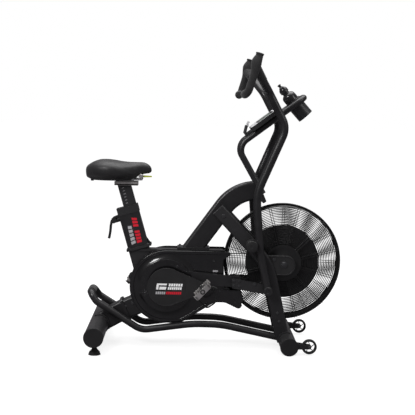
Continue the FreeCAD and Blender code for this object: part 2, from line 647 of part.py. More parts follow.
def link(name, side):
    """Connecting link: a thick bar at the crank, and a bolted plate on to the arm."""
    rear_x, rear_z = CRANK_X, CRANK_Z - side * LINK_THROW
    eye_r = LINK_EYE_R[name]
    slope = (ARM_END_Z + 18 - rear_z) / (ARM_END_X - rear_x)
    tip_x = 130.0
    tip_z = rear_z + slope * (tip_x - rear_x)
    inner, outer = side * LINK_IN, side * LINK_OUT
    rear = cross_rod(rear_x, rear_z, inner, outer, eye_r)
    bar = slab([(rear_x, rear_z + eye_r, 0), (tip_x, tip_z + 25, 8), (tip_x, tip_z - 24, 8),
                (rear_x, rear_z - eye_r, 0)], inner, outer)
    spacer = slab([(tip_x - 44, tip_z + 18, 4), (tip_x - 4, tip_z + 18, 4),
                   (tip_x - 4, tip_z - 18, 4), (tip_x - 44, tip_z - 18, 4)],
                  outer, side * FORK_IN)
    plate = slab([(tip_x - 44, tip_z + 25, 5), (ARM_END_X, ARM_END_Z + 22, 0),
                  (ARM_END_X, ARM_END_Z - 22, 0), (tip_x - 44, tip_z - 22, 5)],
                 side * FORK_IN, side * FORK_OUT)
    eye = cross_rod(ARM_END_X, ARM_END_Z, side * FORK_IN, side * FORK_OUT, 22)
    body = rear.fuse([bar, spacer, plate, eye])
    return body.cut(cross_rod(ARM_END_X, ARM_END_Z, side * 100, side * 140, 9 + FIT))


# ---------------------------------------------------------------- arms
def pivot_axle(side):
    """Fixed pin of an arm, with its end cap."""
    pin = cross_rod(PIVOT_X, PIVOT_Z, side * LEG_IN, side * PIVOT_END, PIVOT_R)
    cap = cross_rod(PIVOT_X, PIVOT_Z, side * PIVOT_END, side * (PIVOT_END + 6), 26)
    return pin.fuse(cap)


def arm_points(side):
    """Centre line of an arm, from its lower pivot to the grip."""
    rows = ((ARM_END_X, ARM_Y, ARM_END_Z, 0.0), (210.0, ARM_Y, 451.0, 400.0),
            (185.0, ARM_Y, 722.0, 240.0), (312.0, ARM_Y + 6, 1027.0, 90.0),
            (229.0, ARM_Y + 10, 1183.0, 50.0), (152.0, GRIP_Y, 1292.0, 0.0))
    return [(vec(x, side * y, z), radius) for x, y, z, radius in rows]


def grip_points(side):
    """Centre line of a grip: it runs down and turns inwards at the bottom."""
    rows = ((169.0, GRIP_Y, 1339.0, 0.0), (121.0, GRIP_Y - 6, 1177.0, 34.0),
            (115.0, GRIP_Y - 92, 1172.0, 0.0))
    return [(vec(x, side * y, z), radius) for x, y, z, radius in rows]


def arm_tube(side):
    """Arm with its pivot sleeve, the lower pin and the bar inside the grip."""
    tube = round_tube(arm_points(side), ARM_R)
    core = sweep(grip_points(side), round_section(GRIP_CORE_R))
    sleeve = cross_rod(PIVOT_X, PIVOT_Z, side * (LEG_OUT + 4), side * (PIVOT_END - 0.5), 26)
    web = block(PIVOT_X, 200, side * (ARM_Y - 16), side * (ARM_Y + 16),
                PIVOT_Z - 26, PIVOT_Z + 26)
    outer = sweep(arm_points(side), round_section(ARM_R))
    end = cross_rod(ARM_END_X, ARM_END_Z, side * (FORK_OUT + 2), side * (ARM_Y + 17), 20)
    pin = cross_rod(ARM_END_X, ARM_END_Z, side * (FORK_IN - 1.5), side * (FORK_OUT + 4), 9)
    body = tube.cut(core).fuse([core, sleeve, web.cut(outer), end, pin])
    return body.cut(cross_rod(PIVOT_X, PIVOT_Z, side * 100, side * 200, PIVOT_R + FIT))


def arm_grip(side):
    """Foam sleeve with a closed top and bottom."""
    foam = sweep(grip_points(side), round_section(GRIP_R))
    points = grip_points(side)
    for at, towards in ((0, 1), (2, 1)):
        out = (points[at][0] - points[towards][0]).normalize()
        foam = foam.fuse(rod(points[at][0], out, 5, GRIP_R))
    foam = foam.cut(sweep(points, round_section(GRIP_CORE_R)))
    return foam.cut(sweep(arm_points(side), round_section(ARM_R)))


# ---------------------------------------------------------------- saddle and adjustment
def seat_post():
    """Seat post with the head plate and the two rails of the saddle's slide."""
    low, high = POST_SHIFT - POST[0] / 2, POST_SHIFT + POST[0] / 2
    outer = seat_block(-60, 260, low, high, POST[1] / 2)
    inner = seat_block(-61, 236, low + 3, high - 3, POST[1] / 2 - 3)
    post = outer.cut(inner).cut(block(-700, -300, -60, 60, HEAD_Z, 900))
    head = block(*HEAD_SPAN, -26, 26, HEAD_Z, HEAD_Z + 5)
    rails = [block(*HEAD_SPAN, side * 26, side * 21, HEAD_Z + 5, HEAD_Z + 13)
             for _, side in SIDES]
    lips = [block(*HEAD_SPAN, side * 26, side * 16, HEAD_Z + 13, HEAD_Z + 16)
            for _, side in SIDES]
    for i in range(8):
        x, z = seat_point(-38 + 32 * i, low + 1)
        post = post.cut(rod(vec(x, 0, z) - backward() * 8, backward(), 16, 6.5))
    return post.fuse([head] + rails + lips)


def saddle_carriage():
    """Slider in the rails, with the steel pan that carries the saddle."""
    slider = block(-448, -376, -20, 20, HEAD_Z + 5.5, HEAD_Z + 12.5)
    neck = block(-446, -378, -15, 15, HEAD_Z + 12.5, PAN_Z)
    pan = slab([(-566, PAN_Z + 6, 2), (-560, PAN_Z, 2), (-336, PAN_Z, 2), (-336, PAN_Z + 6, 2)],
               -44, 44)
    lug = block(LEVER_X - 7, LEVER_X + 7, -12, 12, PAN_Z + 3, LEVER_Z + 7)
    return slider.fuse([neck, pan, lug]).cut(cross_rod(LEVER_X, LEVER_Z, -60, 60, 4 + FIT))


def saddle():
    """Padded saddle: a wide rear and a narrow nose, domed on top and raised at the nose."""
    def plan(z, rear, nose, wide, slim):
        points = [vec(rear, 0, z), vec(rear + 24, wide * 0.66, z), vec(rear + 88, wide, z),
                  vec(rear + 168, wide * 0.6, z), vec(nose - 62, slim * 1.25, z),
                  vec(nose - 12, slim * 0.8, z), vec(nose, 0, z)]
        points += [vec(p.x, -p.y, z) for p in reversed(points[1:-1])]
        curve = Part.BSplineCurve()
        curve.interpolate(points, PeriodicFlag=True)
        return Part.Wire(curve.toShape())
    base = PAN_Z + 6.3
    layers = [plan(base, SADDLE_REAR + 12, -354.0, 98.0, 24.0),
              plan(base + 27, SADDLE_REAR + 1, -318.0, 114.0, 32.0),
              plan(base + 50, SADDLE_REAR, SADDLE_NOSE, 118.0, 34.0),
              plan(base + 68, SADDLE_REAR + 10, SADDLE_NOSE - 8, 106.0, 28.0),
              plan(base + 80, SADDLE_REAR + 34, SADDLE_NOSE - 30, 80.0, 16.0)]
    recess = block(LEVER_X - 9, LEVER_X + 60, -22, 22, PAN_Z, LEVER_Z + 9)
    return Part.makeLoft(layers, True, False).cut(recess)


def saddle_lever():
    """Lever that frees the saddle's slide, on a cross pin under the nose."""
    pin = cross_rod(LEVER_X, LEVER_Z, -18, 18, 4)
    arm = slab([(LEVER_X - 7, LEVER_Z + 5, 2), (LEVER_X - 7, LEVER_Z - 6, 2),
                (LEVER_X + 50, LEVER_Z - 4, 2), (LEVER_X + 50, LEVER_Z + 2, 2)], -18, -13)
    return pin.fuse(arm)


def post_lever():
    """Lever that hangs behind the collar and tightens the seat post."""
    x, z = clamp_axis()
    pin = cross_rod(x, z, -21, 21, 4)
    bar = slab([(x - 8, z + 8, 4), (x + 8, z + 8, 4), (x - 4, z - 42, 8), (x - 14, z - 92, 3),
                (x - 21, z - 92, 3), (x - 18, z - 42, 8)], -21, -15)
    return pin.fuse(bar)


# ---------------------------------------------------------------- console and bottle
def mast_points():
    """Hoop from the arch up and back, then forward over the fan, and down again."""
    tip_x, tip_z = mast_point(MAST_LENGTH, 0)
    rows = ((222.0, 720.0, 0.0), (MAST_BEND_X, MAST_BEND_Z, 60.0))
    points = [(vec(x, -MAST_Y, z), radius) for x, z, radius in rows]
    points += [(vec(tip_x, -MAST_Y, tip_z), 40.0), (vec(tip_x, MAST_Y, tip_z), 40.0)]
    points += [(vec(x, MAST_Y, z), radius) for x, z, radius in reversed(rows)]
    return points


def mast_hoop():
    hoop = round_tube(mast_points(), MAST_R, 2.0)
    tie = block(204, 224, -MAST_Y, MAST_Y, 706, 722)
    solid = sweep(mast_points(), round_section(MAST_R))
    tongues = [slab([(196, 700, 4), (226, 674, 4), (240, 684, 4), (216, 738, 4)],
                    side * 30, side * (MAST_Y - 4)) for _, side in SIDES]
    tie = tie.cut(solid).cut(arch_envelope())
    return hoop.fuse([tie] + [tongue.cut(solid) for tongue in tongues])


CONSOLE = (100.0, 236.0)             # span of the console along the mast
BUTTON_ALONG = 122.0


def mast_normal():
    return vec(-math.sin(MAST_SLOPE), 0, math.cos(MAST_SLOPE))


def console_body():
    """Console housing on the mast, with a rest for a tablet."""
    low, high = CONSOLE
    body = mast_block(low, high, MAST_R + 0.5, 34, -92, 92, 5.0)
    body = body.cut(mast_block(low + 10, high - 10, 32, 44, -80, 80))
    for i in (-1, 1):
        x, z = mast_point(BUTTON_ALONG, 20)
        body = body.cut(rod(vec(x, 34 * i, z), mast_normal(), 30, 7.5))
    hook = slab([mast_point(*place) + (1.0,) for place in
                 ((62, MAST_R + 0.5), (62, 30), (90, 54), (95, 49), (70, 27), (70, 22),
                  (101, 22), (101, MAST_R + 0.5))], -60, 60)
    return body.fuse(hook)


def console_screen():
    """Display window set in the housing."""
    return mast_block(CONSOLE[0] + 40, CONSOLE[1] - 12, 32, 34, -76, 76)


def console_button(index):
    """Push button below the display."""
    x, z = mast_point(BUTTON_ALONG, 23)
    return rod(vec(x, 34 * (2 * index - 1), z), mast_normal(), 11, 7.2)


BOTTLE_LEAN = math.radians(42.6)
BOTTLE_R, CUP_R = 32.6, 38.0


def bottle_axis():
    """Lower end of the bottle's axis, and its direction up and back through the hoop."""
    x, z = mast_point(339, -76)
    return vec(x, 0, z), vec(-math.sin(BOTTLE_LEAN), 0, math.cos(BOTTLE_LEAN))


def bottle_cup():
    """Cup with two ears that hangs in the hoop and holds the bottle."""
    at, up = bottle_axis()
    cup = rod(at, up, 92, CUP_R).cut(rod(at + up * 3, up, 100, BOTTLE_R + 0.6))
    ears = []
    for _, side in SIDES:
        ear = block(-14, 14, side * (CUP_R - 1), side * (MAST_Y - MAST_R + 1), 62, 84)
        ear.rotate(vec(0, 0, 0), vec(0, 1, 0), -math.degrees(BOTTLE_LEAN))
        ear.translate(at)
        ears.append(ear)
    return cup.fuse(ears).cut(sweep(mast_points(), round_section(MAST_R)))


def bottle():
    """Drinking bottle with a shoulder, a screw cap and a spout."""
    at, up = bottle_axis()
    side = up.cross(vec(0, 1, 0))
    profile = ((0, 3.5), (BOTTLE_R, 3.5), (BOTTLE_R, 118), (31, 129), (18, 136), (16, 140),
               (16, 147), (20, 150), (20, 174), (10, 177), (10, 192), (0, 192))
    points = [at + up * height + side * radius for radius, height in profile]
    face = Part.Face(Part.makePolygon(points + [points[0]]))
    return face.revolve(at, up, 360)


# ---------------------------------------------------------------- transport wheels
def wheel_bracket(side):
    """Two ears on the front stabiliser with the wheel's axle between them."""
    ears = []
    for inner in (WHEEL_Y - 16, WHEEL_Y + 12):
        ears.append(slab([(FRONT_X + 30, FRONT_Z + 16, 0), (WHEEL_X, WHEEL_Z + 9, 0),
                          (WHEEL_X + 9, WHEEL_Z, 4), (WHEEL_X, WHEEL_Z - 9, 0),
                          (FRONT_X + 30, FRONT_Z - 12, 0)], side * inner, side * (inner + 4)))
    web = block(FRONT_X + 34, FRONT_X + 46, side * (WHEEL_Y - 16), side * (WHEEL_Y + 16),
                FRONT_Z - 8, FRONT_Z + 12)
    axle = cross_rod(WHEEL_X, WHEEL_Z, side * (WHEEL_Y - 18), side * (WHEEL_Y + 18), 4)
    return ears[0].fuse([ears[1], web, axle]).cut(front_tube_solid())


def wheel(side):
    """Spoked transport wheel with a soft tyre."""
    half = WHEEL_WIDTH / 2
    y0, y1 = side * WHEEL_Y - half, side * WHEEL_Y + half
    tyre = ring(WHEEL_X, WHEEL_Z, y0, y1, WHEEL_R, WHEEL_R - 8)
    hub = cross_rod(WHEEL_X, WHEEL_Z, y0, y1, 9)
    spokes = []
    for i in range(6):
        spoke = block(0, WHEEL_R - 7, -half + 4, half - 4, -2.5, 2.5)
        spoke.rotate(vec(0, 0, 0), vec(0, 1, 0), 60 * i)
        spoke.translate(vec(WHEEL_X, side * WHEEL_Y, WHEEL_Z))
        spokes.append(spoke)
    return tyre.fuse([hub] + spokes).cut(cross_rod(WHEEL_X, WHEEL_Z, y0 - 9, y1 + 9, 4 + FIT))


# ---------------------------------------------------------------- write the pieces
def main():
    os.makedirs("parts", exist_ok=True)
    paired = {"front_cap": front_cap, "rear_cap": rear_cap, "foot": foot, "leg": leg,
              "shroud": shroud_half, "crank_drum": crank_drum, "cage_grille": cage_grille,
              "axle_bracket": axle_bracket, "crank_arm": crank_arm,
              "crank_plate": crank_plate, "pivot_axle": pivot_axle,
              "arm_tube": arm_tube, "arm_grip": arm_grip,
              "wheel_bracket": wheel_bracket, "wheel": wheel}
    for name, make in paired.items():
        for side_name, side in SIDES:
            save(make(side), f"{name}_{side_name}")
    for side_name, side in SIDES:
        save(pedal(side), f"pedal_{side_name}")
        save(link(side_name, side), f"link_{side_name}")
    for index in range(2):
        save(console_button(index), f"console_button_{index + 1}")
    single = {"front_stabiliser": front_stabiliser, "rear_stabiliser": rear_stabiliser,
              "strut": strut, "rail_hoop": rail_hoop, "lift_grip": lift_grip,
              "main_arch": main_arch, "keel": keel,
              "seat_tube": seat_tube, "cage_rim": cage_rim, "fan_axle": fan_axle,
              "fan_rotor": fan_rotor, "belt": belt, "crank_axle": crank_axle,
              "drive_pulley": drive_pulley, "seat_post": seat_post,
              "saddle_carriage": saddle_carriage, "saddle": saddle,
              "saddle_lever": saddle_lever, "post_lever": post_lever,
              "mast_hoop": mast_hoop, "console_body": console_body,
              "console_screen": console_screen, "bottle_cup": bottle_cup, "bottle": bottle}
    for name, make in single.items():
        save(make(), name)


main()
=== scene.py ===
"""Air bike: the visual model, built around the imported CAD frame.

Lengths in this script are millimetres unless a name or comment says otherwise.  +X points
forward, +Y to the rider's left and +Z up; "right" pieces are at -Y, which faces the camera.
"""

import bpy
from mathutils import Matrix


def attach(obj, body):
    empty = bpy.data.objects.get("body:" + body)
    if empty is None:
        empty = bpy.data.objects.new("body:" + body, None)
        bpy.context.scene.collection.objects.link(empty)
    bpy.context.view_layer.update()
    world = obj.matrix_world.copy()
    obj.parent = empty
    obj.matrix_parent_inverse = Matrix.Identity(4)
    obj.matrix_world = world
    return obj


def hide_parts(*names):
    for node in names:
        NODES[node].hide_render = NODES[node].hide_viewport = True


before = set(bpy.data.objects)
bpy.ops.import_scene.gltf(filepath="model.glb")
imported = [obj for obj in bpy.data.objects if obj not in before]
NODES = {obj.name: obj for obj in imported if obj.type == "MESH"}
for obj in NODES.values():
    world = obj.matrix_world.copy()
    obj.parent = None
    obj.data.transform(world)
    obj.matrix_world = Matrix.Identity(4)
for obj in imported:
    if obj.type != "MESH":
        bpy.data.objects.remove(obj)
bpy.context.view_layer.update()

import math

import bmesh
import bpy
from mathutils import Matrix, Vector

MM = 0.001
SIDES = (("right", -1), ("left", 1))
SHARP = math.radians(35)  # edges that turn by more than this are bevelled or left sharp
SUNK = 0.1  # how far a printed mark starts inside the face that it lies on

# Places on the CAD frame that the looks pieces sit on.  A face is given by its distance from
# the centre plane.
CRANK_X, CRANK_Z, CRANK_THROW = -215.0, 288.0, 165.0
CRANK_FACE = 129.5  # crank's cover
FAN_X, FAN_Z = 324.0, 398.0
SEAT_LEAN = math.radians(16.2)
SEAT_X, SEAT_Z = -370.0, 517.0  # point on the seat tube's centre line
TUBE_FACE, POST_FACE = 25.0, 16.0  # seat tube, seat post
MAST_SLOPE = math.radians(37.2)
MAST_X, MAST_Z = 98.0, 935.0  # bend of the console's mast
SHELF_Z = 452.0  # shelf that the arch's base is bolted to
PIVOT_X, PIVOT_Z, PIVOT_FACE = 169.0, 490.0, 184.0  # axle that an arm swings on
ARM_END_X, ARM_END_Z, ARM_END_FACE = 249.0, 282.0, 163.0  # foot of an arm
LINK_THROW = 46.0  # height of a link's rear pin above or below the crank's axis
LINK_RISE = 18.0  # how far above the arm's foot a link's bar aims
LINK_FACE, LEG_FACE, STRUT_FACE = 122.0, 112.0, 35.0
BRACKET_FACE = 100.0  # fan axle's brackets
SHROUD_FACE, DRUM_FACE = 64.0, 96.0  # guard, and the drum that stands out of it


# ---------------------------------------------------------------- places on the object
def seat3(along, ahead, y):
    """Point on the leaning seat tube: up its centre line, ahead of it, and to the side."""
    return Vector((SEAT_X - along * math.sin(SEAT_LEAN) + ahead * math.cos(SEAT_LEAN), y,
                   SEAT_Z + along * math.cos(SEAT_LEAN) + ahead * math.sin(SEAT_LEAN)))


def seat_side(along, y, ahead):
    """The same as seat3, in the order that Piece.plate asks for a plate facing sideways."""
    return seat3(along, ahead, y)


def mast3(along, above, y):
    """Point on the console's slope, measured from the bend of its mast."""
    return Vector((MAST_X + along * math.cos(MAST_SLOPE) - above * math.sin(MAST_SLOPE), y,
                   MAST_Z + along * math.sin(MAST_SLOPE) + above * math.cos(MAST_SLOPE)))


# ---------------------------------------------------------------- mesh helpers
def rounded(corners, closed=False, step=math.radians(9)):
    """Points along straight runs joined by arcs.  Each corner is (point, radius)."""
    points = []
    count = len(corners)
    for i, (point, radius) in enumerate(corners):
        at = Vector(point)
        if radius <= 0 or (not closed and i in (0, count - 1)):
            points.append(at)
            continue
        back = (Vector(corners[i - 1][0]) - at).normalized()
        ahead = (Vector(corners[(i + 1) % count][0]) - at).normalized()
        half = back.angle(ahead) / 2
        reach = radius / math.tan(half)
        centre = at + (back + ahead).normalized() * (radius / math.sin(half))
        start, end = at + back * reach - centre, at + ahead * reach - centre
        turn = math.pi - 2 * half
        pieces = max(2, round(turn / step))
        for k in range(pieces + 1):
            share = k / pieces
            points.append(centre + (start * math.sin((1 - share) * turn)
                                    + end * math.sin(share * turn)) / math.sin(turn))
    return points


def circle(radius, sides):
    return [(radius * math.cos(2 * math.pi * i / sides),
             radius * math.sin(2 * math.pi * i / sides)) for i in range(sides)]


def oblong(width, height, radius):
    """Rounded rectangle about the origin."""
    a, b = width / 2, height / 2
    corners = [((-a, -b), radius), ((a, -b), radius), ((a, b), radius), ((-a, b), radius)]
    return [tuple(p) for p in rounded(corners, closed=True, step=math.radians(22))]


def smooth_rows(rows, parts):
    """The rows, with others between them on Catmull-Rom curves."""
    result = []
    for i in range(len(rows) - 1):
        a, b, c, d = (Vector(rows[min(max(k, 0), len(rows) - 1)]) for k in
                      (i - 1, i, i + 1, i + 2))
        for k in range(parts):
            t = k / parts
            result.append(0.5 * ((2 * b) + (c - a) * t + (2 * a - 5 * b + 4 * c - d) * t * t
                                 + (3 * b - a - 3 * c + d) * t ** 3))
    return result + [Vector(rows[-1])]


def softened(points, faces, width):
    """The same closed part with its sharp edges rounded."""
    bm = bmesh.new()
    verts = [bm.verts.new(p) for p in points]
    for face in faces:
        bm.faces.new([verts[i] for i in face])
    bmesh.ops.recalc_face_normals(bm, faces=bm.faces)
    sharp = [e for e in bm.edges if e.is_manifold and e.calc_face_angle(0.0) > SHARP]
    bmesh.ops.bevel(bm, geom=sharp, offset=width, segments=2, profile=0.55, affect="EDGES",
                    clamp_overlap=True)
    bm.verts.index_update()
    result = [v.co.copy() for v in bm.verts], [[v.index for v in f.verts] for f in bm.faces]
    bm.free()
    return result


class Piece:
    """Closed parts collected into one mesh."""

    def __init__(self):
        self.points = []
        self.faces = []
        self.turn = Matrix.Identity(4)

    def add(self, points, faces, bevel=0.0):
        if bevel:
            points, faces = softened(points, faces, bevel)
        start = len(self.points)
        self.points += [self.turn @ Vector(p) for p in points]
        self.faces += [[start + i for i in face] for face in faces]

    def loft(self, rings, closed=False, bevel=0.0):
        """Skin over equal rings, with flat ends unless the last ring joins the first."""
        size, count = len(rings[0]), len(rings)
        faces = []
        for i in range(count if closed else count - 1):
            j = (i + 1) % count
            for k in range(size):
                m = (k + 1) % size
                faces.append([i * size + k, i * size + m, j * size + m, j * size + k])
        if not closed:
            faces.append(list(range(size)))
            faces.append([(count - 1) * size + k for k in range(size)])
        self.add([p for ring in rings for p in ring], faces, bevel)

    def tube(self, corners, section, closed=False, bevel=0.0, sides=16, step=math.radians(9)):
        """Sweep a section along rounded corners; a number is the radius of a round one."""
        if not isinstance(section, list):
            section = circle(section, sides)
        path = rounded(corners, closed, step)
        count = len(path)
        rings = []
        side = Vector((0, 1, 0))
        if abs((path[1] - path[0]).normalized().y) > 0.9:
            side = Vector((1, 0, 0))
        for i, point in enumerate(path):
            before = path[i - 1] if i or closed else point
            after = path[(i + 1) % count] if i + 1 < count or closed else point
            along = (after - before).normalized()
            side = (side - along * side.dot(along)).normalized()
            up = along.cross(side)
            rings.append([point + side * a + up * b for a, b in section])
        self.loft(rings, closed, bevel)

    def limb(self, rows, sides=32):
        """Skin over circles of changing radius: rows of (point, radius), with flat ends."""
        rings = []
        side = Vector((0, 1, 0))
        if abs((rows[1][0] - rows[0][0]).normalized().y) > 0.7:
            side = Vector((1, 0, 0))
        for i, (point, radius) in enumerate(rows):
            before, after = rows[max(i - 1, 0)][0], rows[min(i + 1, len(rows) - 1)][0]
            along = (after - before).normalized()
            side = (side - along * side.dot(along)).normalized()
            up = along.cross(side)
            rings.append([point + side * a + up * b for a, b in circle(radius, sides)])
        self.loft(rings)

    def lathe(self, profile, centre, axis, steps=48, closed=False):
        """Rows of (radius, distance along the axis) turned about an axis."""
        axis = Vector(axis).normalized()
        side = Vector((1, 0, 0)) if abs(axis.y) > 0.9 else Vector((0, 1, 0))
        side = (side - axis * side.dot(axis)).normalized()
        up = axis.cross(side)
        centre = Vector(centre)
        rings = [[centre + axis * along + side * (radius * math.cos(angle))
                  + up * (radius * math.sin(angle))
                  for angle in (2 * math.pi * i / steps for i in range(steps))]
                 for radius, along in profile]
        self.loft(rings, closed)

    def wire_ring(self, x, y, z, radius, wire, sides=6, steps=96):
        """Torus about the Y direction."""
        profile = [(radius + wire * math.cos(2 * math.pi * i / sides),
                    wire * math.sin(2 * math.pi * i / sides)) for i in range(sides)]
        self.lathe(profile, (x, y, z), (0, 1, 0), steps, closed=True)

    def prism(self, outline, y0, y1, bevel=0.0):
        """Outline of (x, z) points made thick along Y."""
        self.loft([[Vector((x, y, z)) for x, z in outline] for y in (y0, y1)], bevel=bevel)

    def box(self, x0, x1, y0, y1, z0, z1, bevel=0.0):
        self.prism([(x0, z0), (x1, z0), (x1, z1), (x0, z1)], y0, y1, bevel)

    def plate(self, place, outline, low, high):
        """Outline of (a, b) points made thick in a slanted frame: place(a, c, b)."""
        self.loft([[place(a, c, b) for a, b in outline] for c in (low, high)])

    def bolt(self, at, axis, radius, height):
        """Washer and hexagonal head."""
        self.lathe([(radius * 1.45, -0.5), (radius * 1.45, 0.9), (radius * 1.3, 1.2),
                    (radius * 0.9, 1.2)], at, axis, 24)
        self.lathe([(radius * 1.1, 1.0), (radius * 1.1, height * 0.8),
                    (radius * 0.95, height), (radius * 0.4, height)], at, axis, 6)

    def make(self, name, body, material, replaces=()):
        """Turn what was collected into an object that rides its body."""
        bm = bmesh.new()
        verts = [bm.verts.new(p * MM) for p in self.points]
        for face in self.faces:
            bm.faces.new([verts[i] for i in face])
        bmesh.ops.recalc_face_normals(bm, faces=bm.faces)
        mesh = bpy.data.meshes.new(name)
        bm.to_mesh(mesh)
        bm.free()
        mesh.shade_smooth()
        mesh.set_sharp_from_angle(angle=SHARP)
        mesh.materials.append(material)
        obj = bpy.data.objects.new(name, mesh)
        bpy.context.scene.collection.objects.link(obj)
        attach(obj, body)
        if replaces:
            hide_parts(*replaces)
        return obj


# ---------------------------------------------------------------- materials
def finish(name, colour, rough, grain=0.9, depth=0.02, cells=False, stretch=(1, 1, 1),
           spread=0.16, patch=55.0, rounding=0.7, edge=0.0, **sockets):
    """Procedural finish: colour patches, grain in the bump, uneven gloss and soft edges.

    grain, patch and rounding are sizes in mm, depth is the height of the grain in mm, and
    edge is how much lighter worn edges are.  Other arguments are uniform shader inputs.
    """
    material = bpy.data.materials.new(name)
    material.use_nodes = True
    nodes, links = material.node_tree.nodes, material.node_tree.links
    shader = nodes["Principled BSDF"]
    for key, value in sockets.items():
        shader.inputs[key.replace("_", " ")].default_value = value
    place = nodes.new("ShaderNodeTexCoord")
    scale = nodes.new("ShaderNodeMapping")
    scale.inputs["Scale"].default_value = stretch
    links.new(place.outputs["Object"], scale.inputs["Vector"])

    def noise(size, detail):
        node = nodes.new("ShaderNodeTexNoise")
        node.inputs["Scale"].default_value = 1 / (size * MM)
        node.inputs["Detail"].default_value = detail
        links.new(scale.outputs["Vector"], node.inputs["Vector"])
        return node.outputs["Fac"]

    def spanned(source, low, high):
        """Noise, which seldom leaves 0.3 to 0.7, spread over a range."""
        node = nodes.new("ShaderNodeMapRange")
        node.inputs["From Min"].default_value = 0.3
        node.inputs["From Max"].default_value = 0.7
        node.inputs["To Min"].default_value = low
        node.inputs["To Max"].default_value = high
        links.new(source, node.inputs["Value"])
        return node.outputs["Result"]

    def blended(share, first, second):
        node = nodes.new("ShaderNodeMix")
        node.data_type = "RGBA"
        for socket, value in (("A", first), ("B", second)):
            target = [s for s in node.inputs if s.name == socket and s.type == "RGBA"][0]
            if isinstance(value, tuple):
                target.default_value = value + (1.0,)
            else:
                links.new(value, target)
        links.new(share, [s for s in node.inputs if s.name == "Factor"][0])
        return [s for s in node.outputs if s.type == "RGBA"][0]

    dark = tuple(c * (1 - spread) for c in colour)
    light = tuple(c * (1 + spread) + 0.002 for c in colour)
    broad = noise(patch, 3)
    tone = blended(spanned(broad, 0, 1), dark, light)
    if edge:  # pointiness is 0.5 on flat faces and higher on outer edges
        geometry = nodes.new("ShaderNodeNewGeometry")
        node = nodes.new("ShaderNodeMapRange")
        node.inputs["From Min"].default_value = 0.53
        node.inputs["From Max"].default_value = 0.66
        node.inputs["To Max"].default_value = 0.8
        links.new(geometry.outputs["Pointiness"], node.inputs["Value"])
        tone = blended(node.outputs["Result"], tone, tuple(c + edge for c in colour))
    links.new(tone, shader.inputs["Base Color"])
    links.new(spanned(noise(patch * 0.4, 4), rough * 0.88, min(1.0, rough * 1.14)),
              shader.inputs["Roughness"])
    if cells:
        node = nodes.new("ShaderNodeTexVoronoi")
        node.inputs["Scale"].default_value = 1 / (grain * MM)
        links.new(scale.outputs["Vector"], node.inputs["Vector"])
        height = node.outputs["Distance"]
    else:
        height = noise(grain, 2)
    bump = nodes.new("ShaderNodeBump")
    bump.inputs["Distance"].default_value = depth * MM
    links.new(height, bump.inputs["Height"])
    if rounding:
        bevel = nodes.new("ShaderNodeBevel")
        bevel.samples = 4
        bevel.inputs["Radius"].default_value = rounding * MM
        links.new(bevel.outputs["Normal"], bump.inputs["Normal"])
    links.new(bump.outputs["Normal"], shader.inputs["Normal"])
    return material


PAINT = finish("satin_powder_coat", (0.017, 0.0165, 0.018), 0.36, grain=0.7, depth=0.012,
               edge=0.02, Coat_Weight=0.15, Coat_Roughness=0.3)
GLOSS = finish("gloss_moulding", (0.007, 0.0068, 0.0076), 0.2, grain=3.0, depth=0.006,
               Coat_Weight=0.5, Coat_Roughness=0.08)
MATTE = finish("matte_moulding", (0.013, 0.0127, 0.0134), 0.5, grain=0.5, depth=0.03, edge=0.015)
WIRE = finish("wire_coat", (0.012, 0.012, 0.0125), 0.36, grain=0.7, depth=0.01, rounding=0)
STEEL = finish("brushed_steel", (0.56, 0.56, 0.57), 0.3, grain=0.6, depth=0.01,
               stretch=(0.1, 1, 1), Metallic=1.0)
BOLT_STEEL = finish("blackened_bolts", (0.10, 0.10, 0.105), 0.34, grain=0.5, depth=0.01,
                    Metallic=0.8)
ROTOR = finish("rotor_paint", (0.03, 0.03, 0.031), 0.42, grain=0.7, depth=0.012, edge=0.01)
CRANK = finish("crank_paint", (0.02, 0.02, 0.021), 0.4, grain=0.6, depth=0.015, edge=0.03)
ALLOY = finish("cast_alloy", (0.72, 0.70, 0.68), 0.36, grain=0.9, depth=0.03, Metallic=1.0)
FOAM = finish("grip_foam", (0.018, 0.0175, 0.018), 0.85, grain=0.8, depth=0.12, cells=True,
              rounding=0, Sheen_Weight=0.15, Sheen_Roughness=0.6)
RUBBER = finish("foot_rubber", (0.016, 0.016, 0.0165), 0.7, grain=0.5, depth=0.04)
LEATHER = finish("saddle_vinyl", (0.017, 0.0165, 0.0175), 0.46, grain=1.3, depth=0.10,
                 cells=True, rounding=0, patch=40.0, Sheen_Weight=0.08, Sheen_Roughness=0.5)
LIME = finish("lever_green", (0.55, 0.62, 0.08), 0.34, grain=0.8, depth=0.02)
LEVER = finish("lever_paint", (0.018, 0.018, 0.019), 0.32, grain=0.7, depth=0.012, edge=0.03)
TYRE = finish("tyre_rubber", (0.017, 0.017, 0.0175), 0.72, grain=0.6, depth=0.06)
CASE = finish("console_moulding", (0.02, 0.02, 0.021), 0.48, grain=0.4, depth=0.03)
WINDOW = finish("console_window", (0.035, 0.042, 0.04), 0.14, grain=6.0, depth=0.002,
                Coat_Weight=1.0, Coat_Roughness=0.03)
SEGMENT = finish("display_glass", (0.16, 0.19, 0.16), 0.3, grain=4.0, depth=0.002)
KEY = finish("key_rubber", (0.33, 0.33, 0.34), 0.55, grain=0.4, depth=0.02)
TRIM = finish("light_trim", (0.68, 0.68, 0.69), 0.4, grain=0.5, depth=0.02)
BOTTLE = finish("bottle_plastic", (0.013, 0.013, 0.014), 0.24, grain=1.5, depth=0.008,
                Coat_Weight=0.4, Coat_Roughness=0.12)
BELT = finish("belt_rubber", (0.02, 0.02, 0.02), 0.66, grain=0.9, depth=0.05)
# White print with an emission: a painted glow that makes the print read brighter than the lamps
# light it.
WHITE_PRINT_GLOWING = finish("white_print_painted_glow", (0.86, 0.86, 0.86), 0.42, grain=0.5, depth=0.01, rounding=0,
                    spread=0.05, Emission_Color=(1, 1, 1, 1), Emission_Strength=0.22)
GREY_MARK = finish("grey_print", (0.55, 0.54, 0.56), 0.42, grain=0.5, depth=0.01, rounding=0)
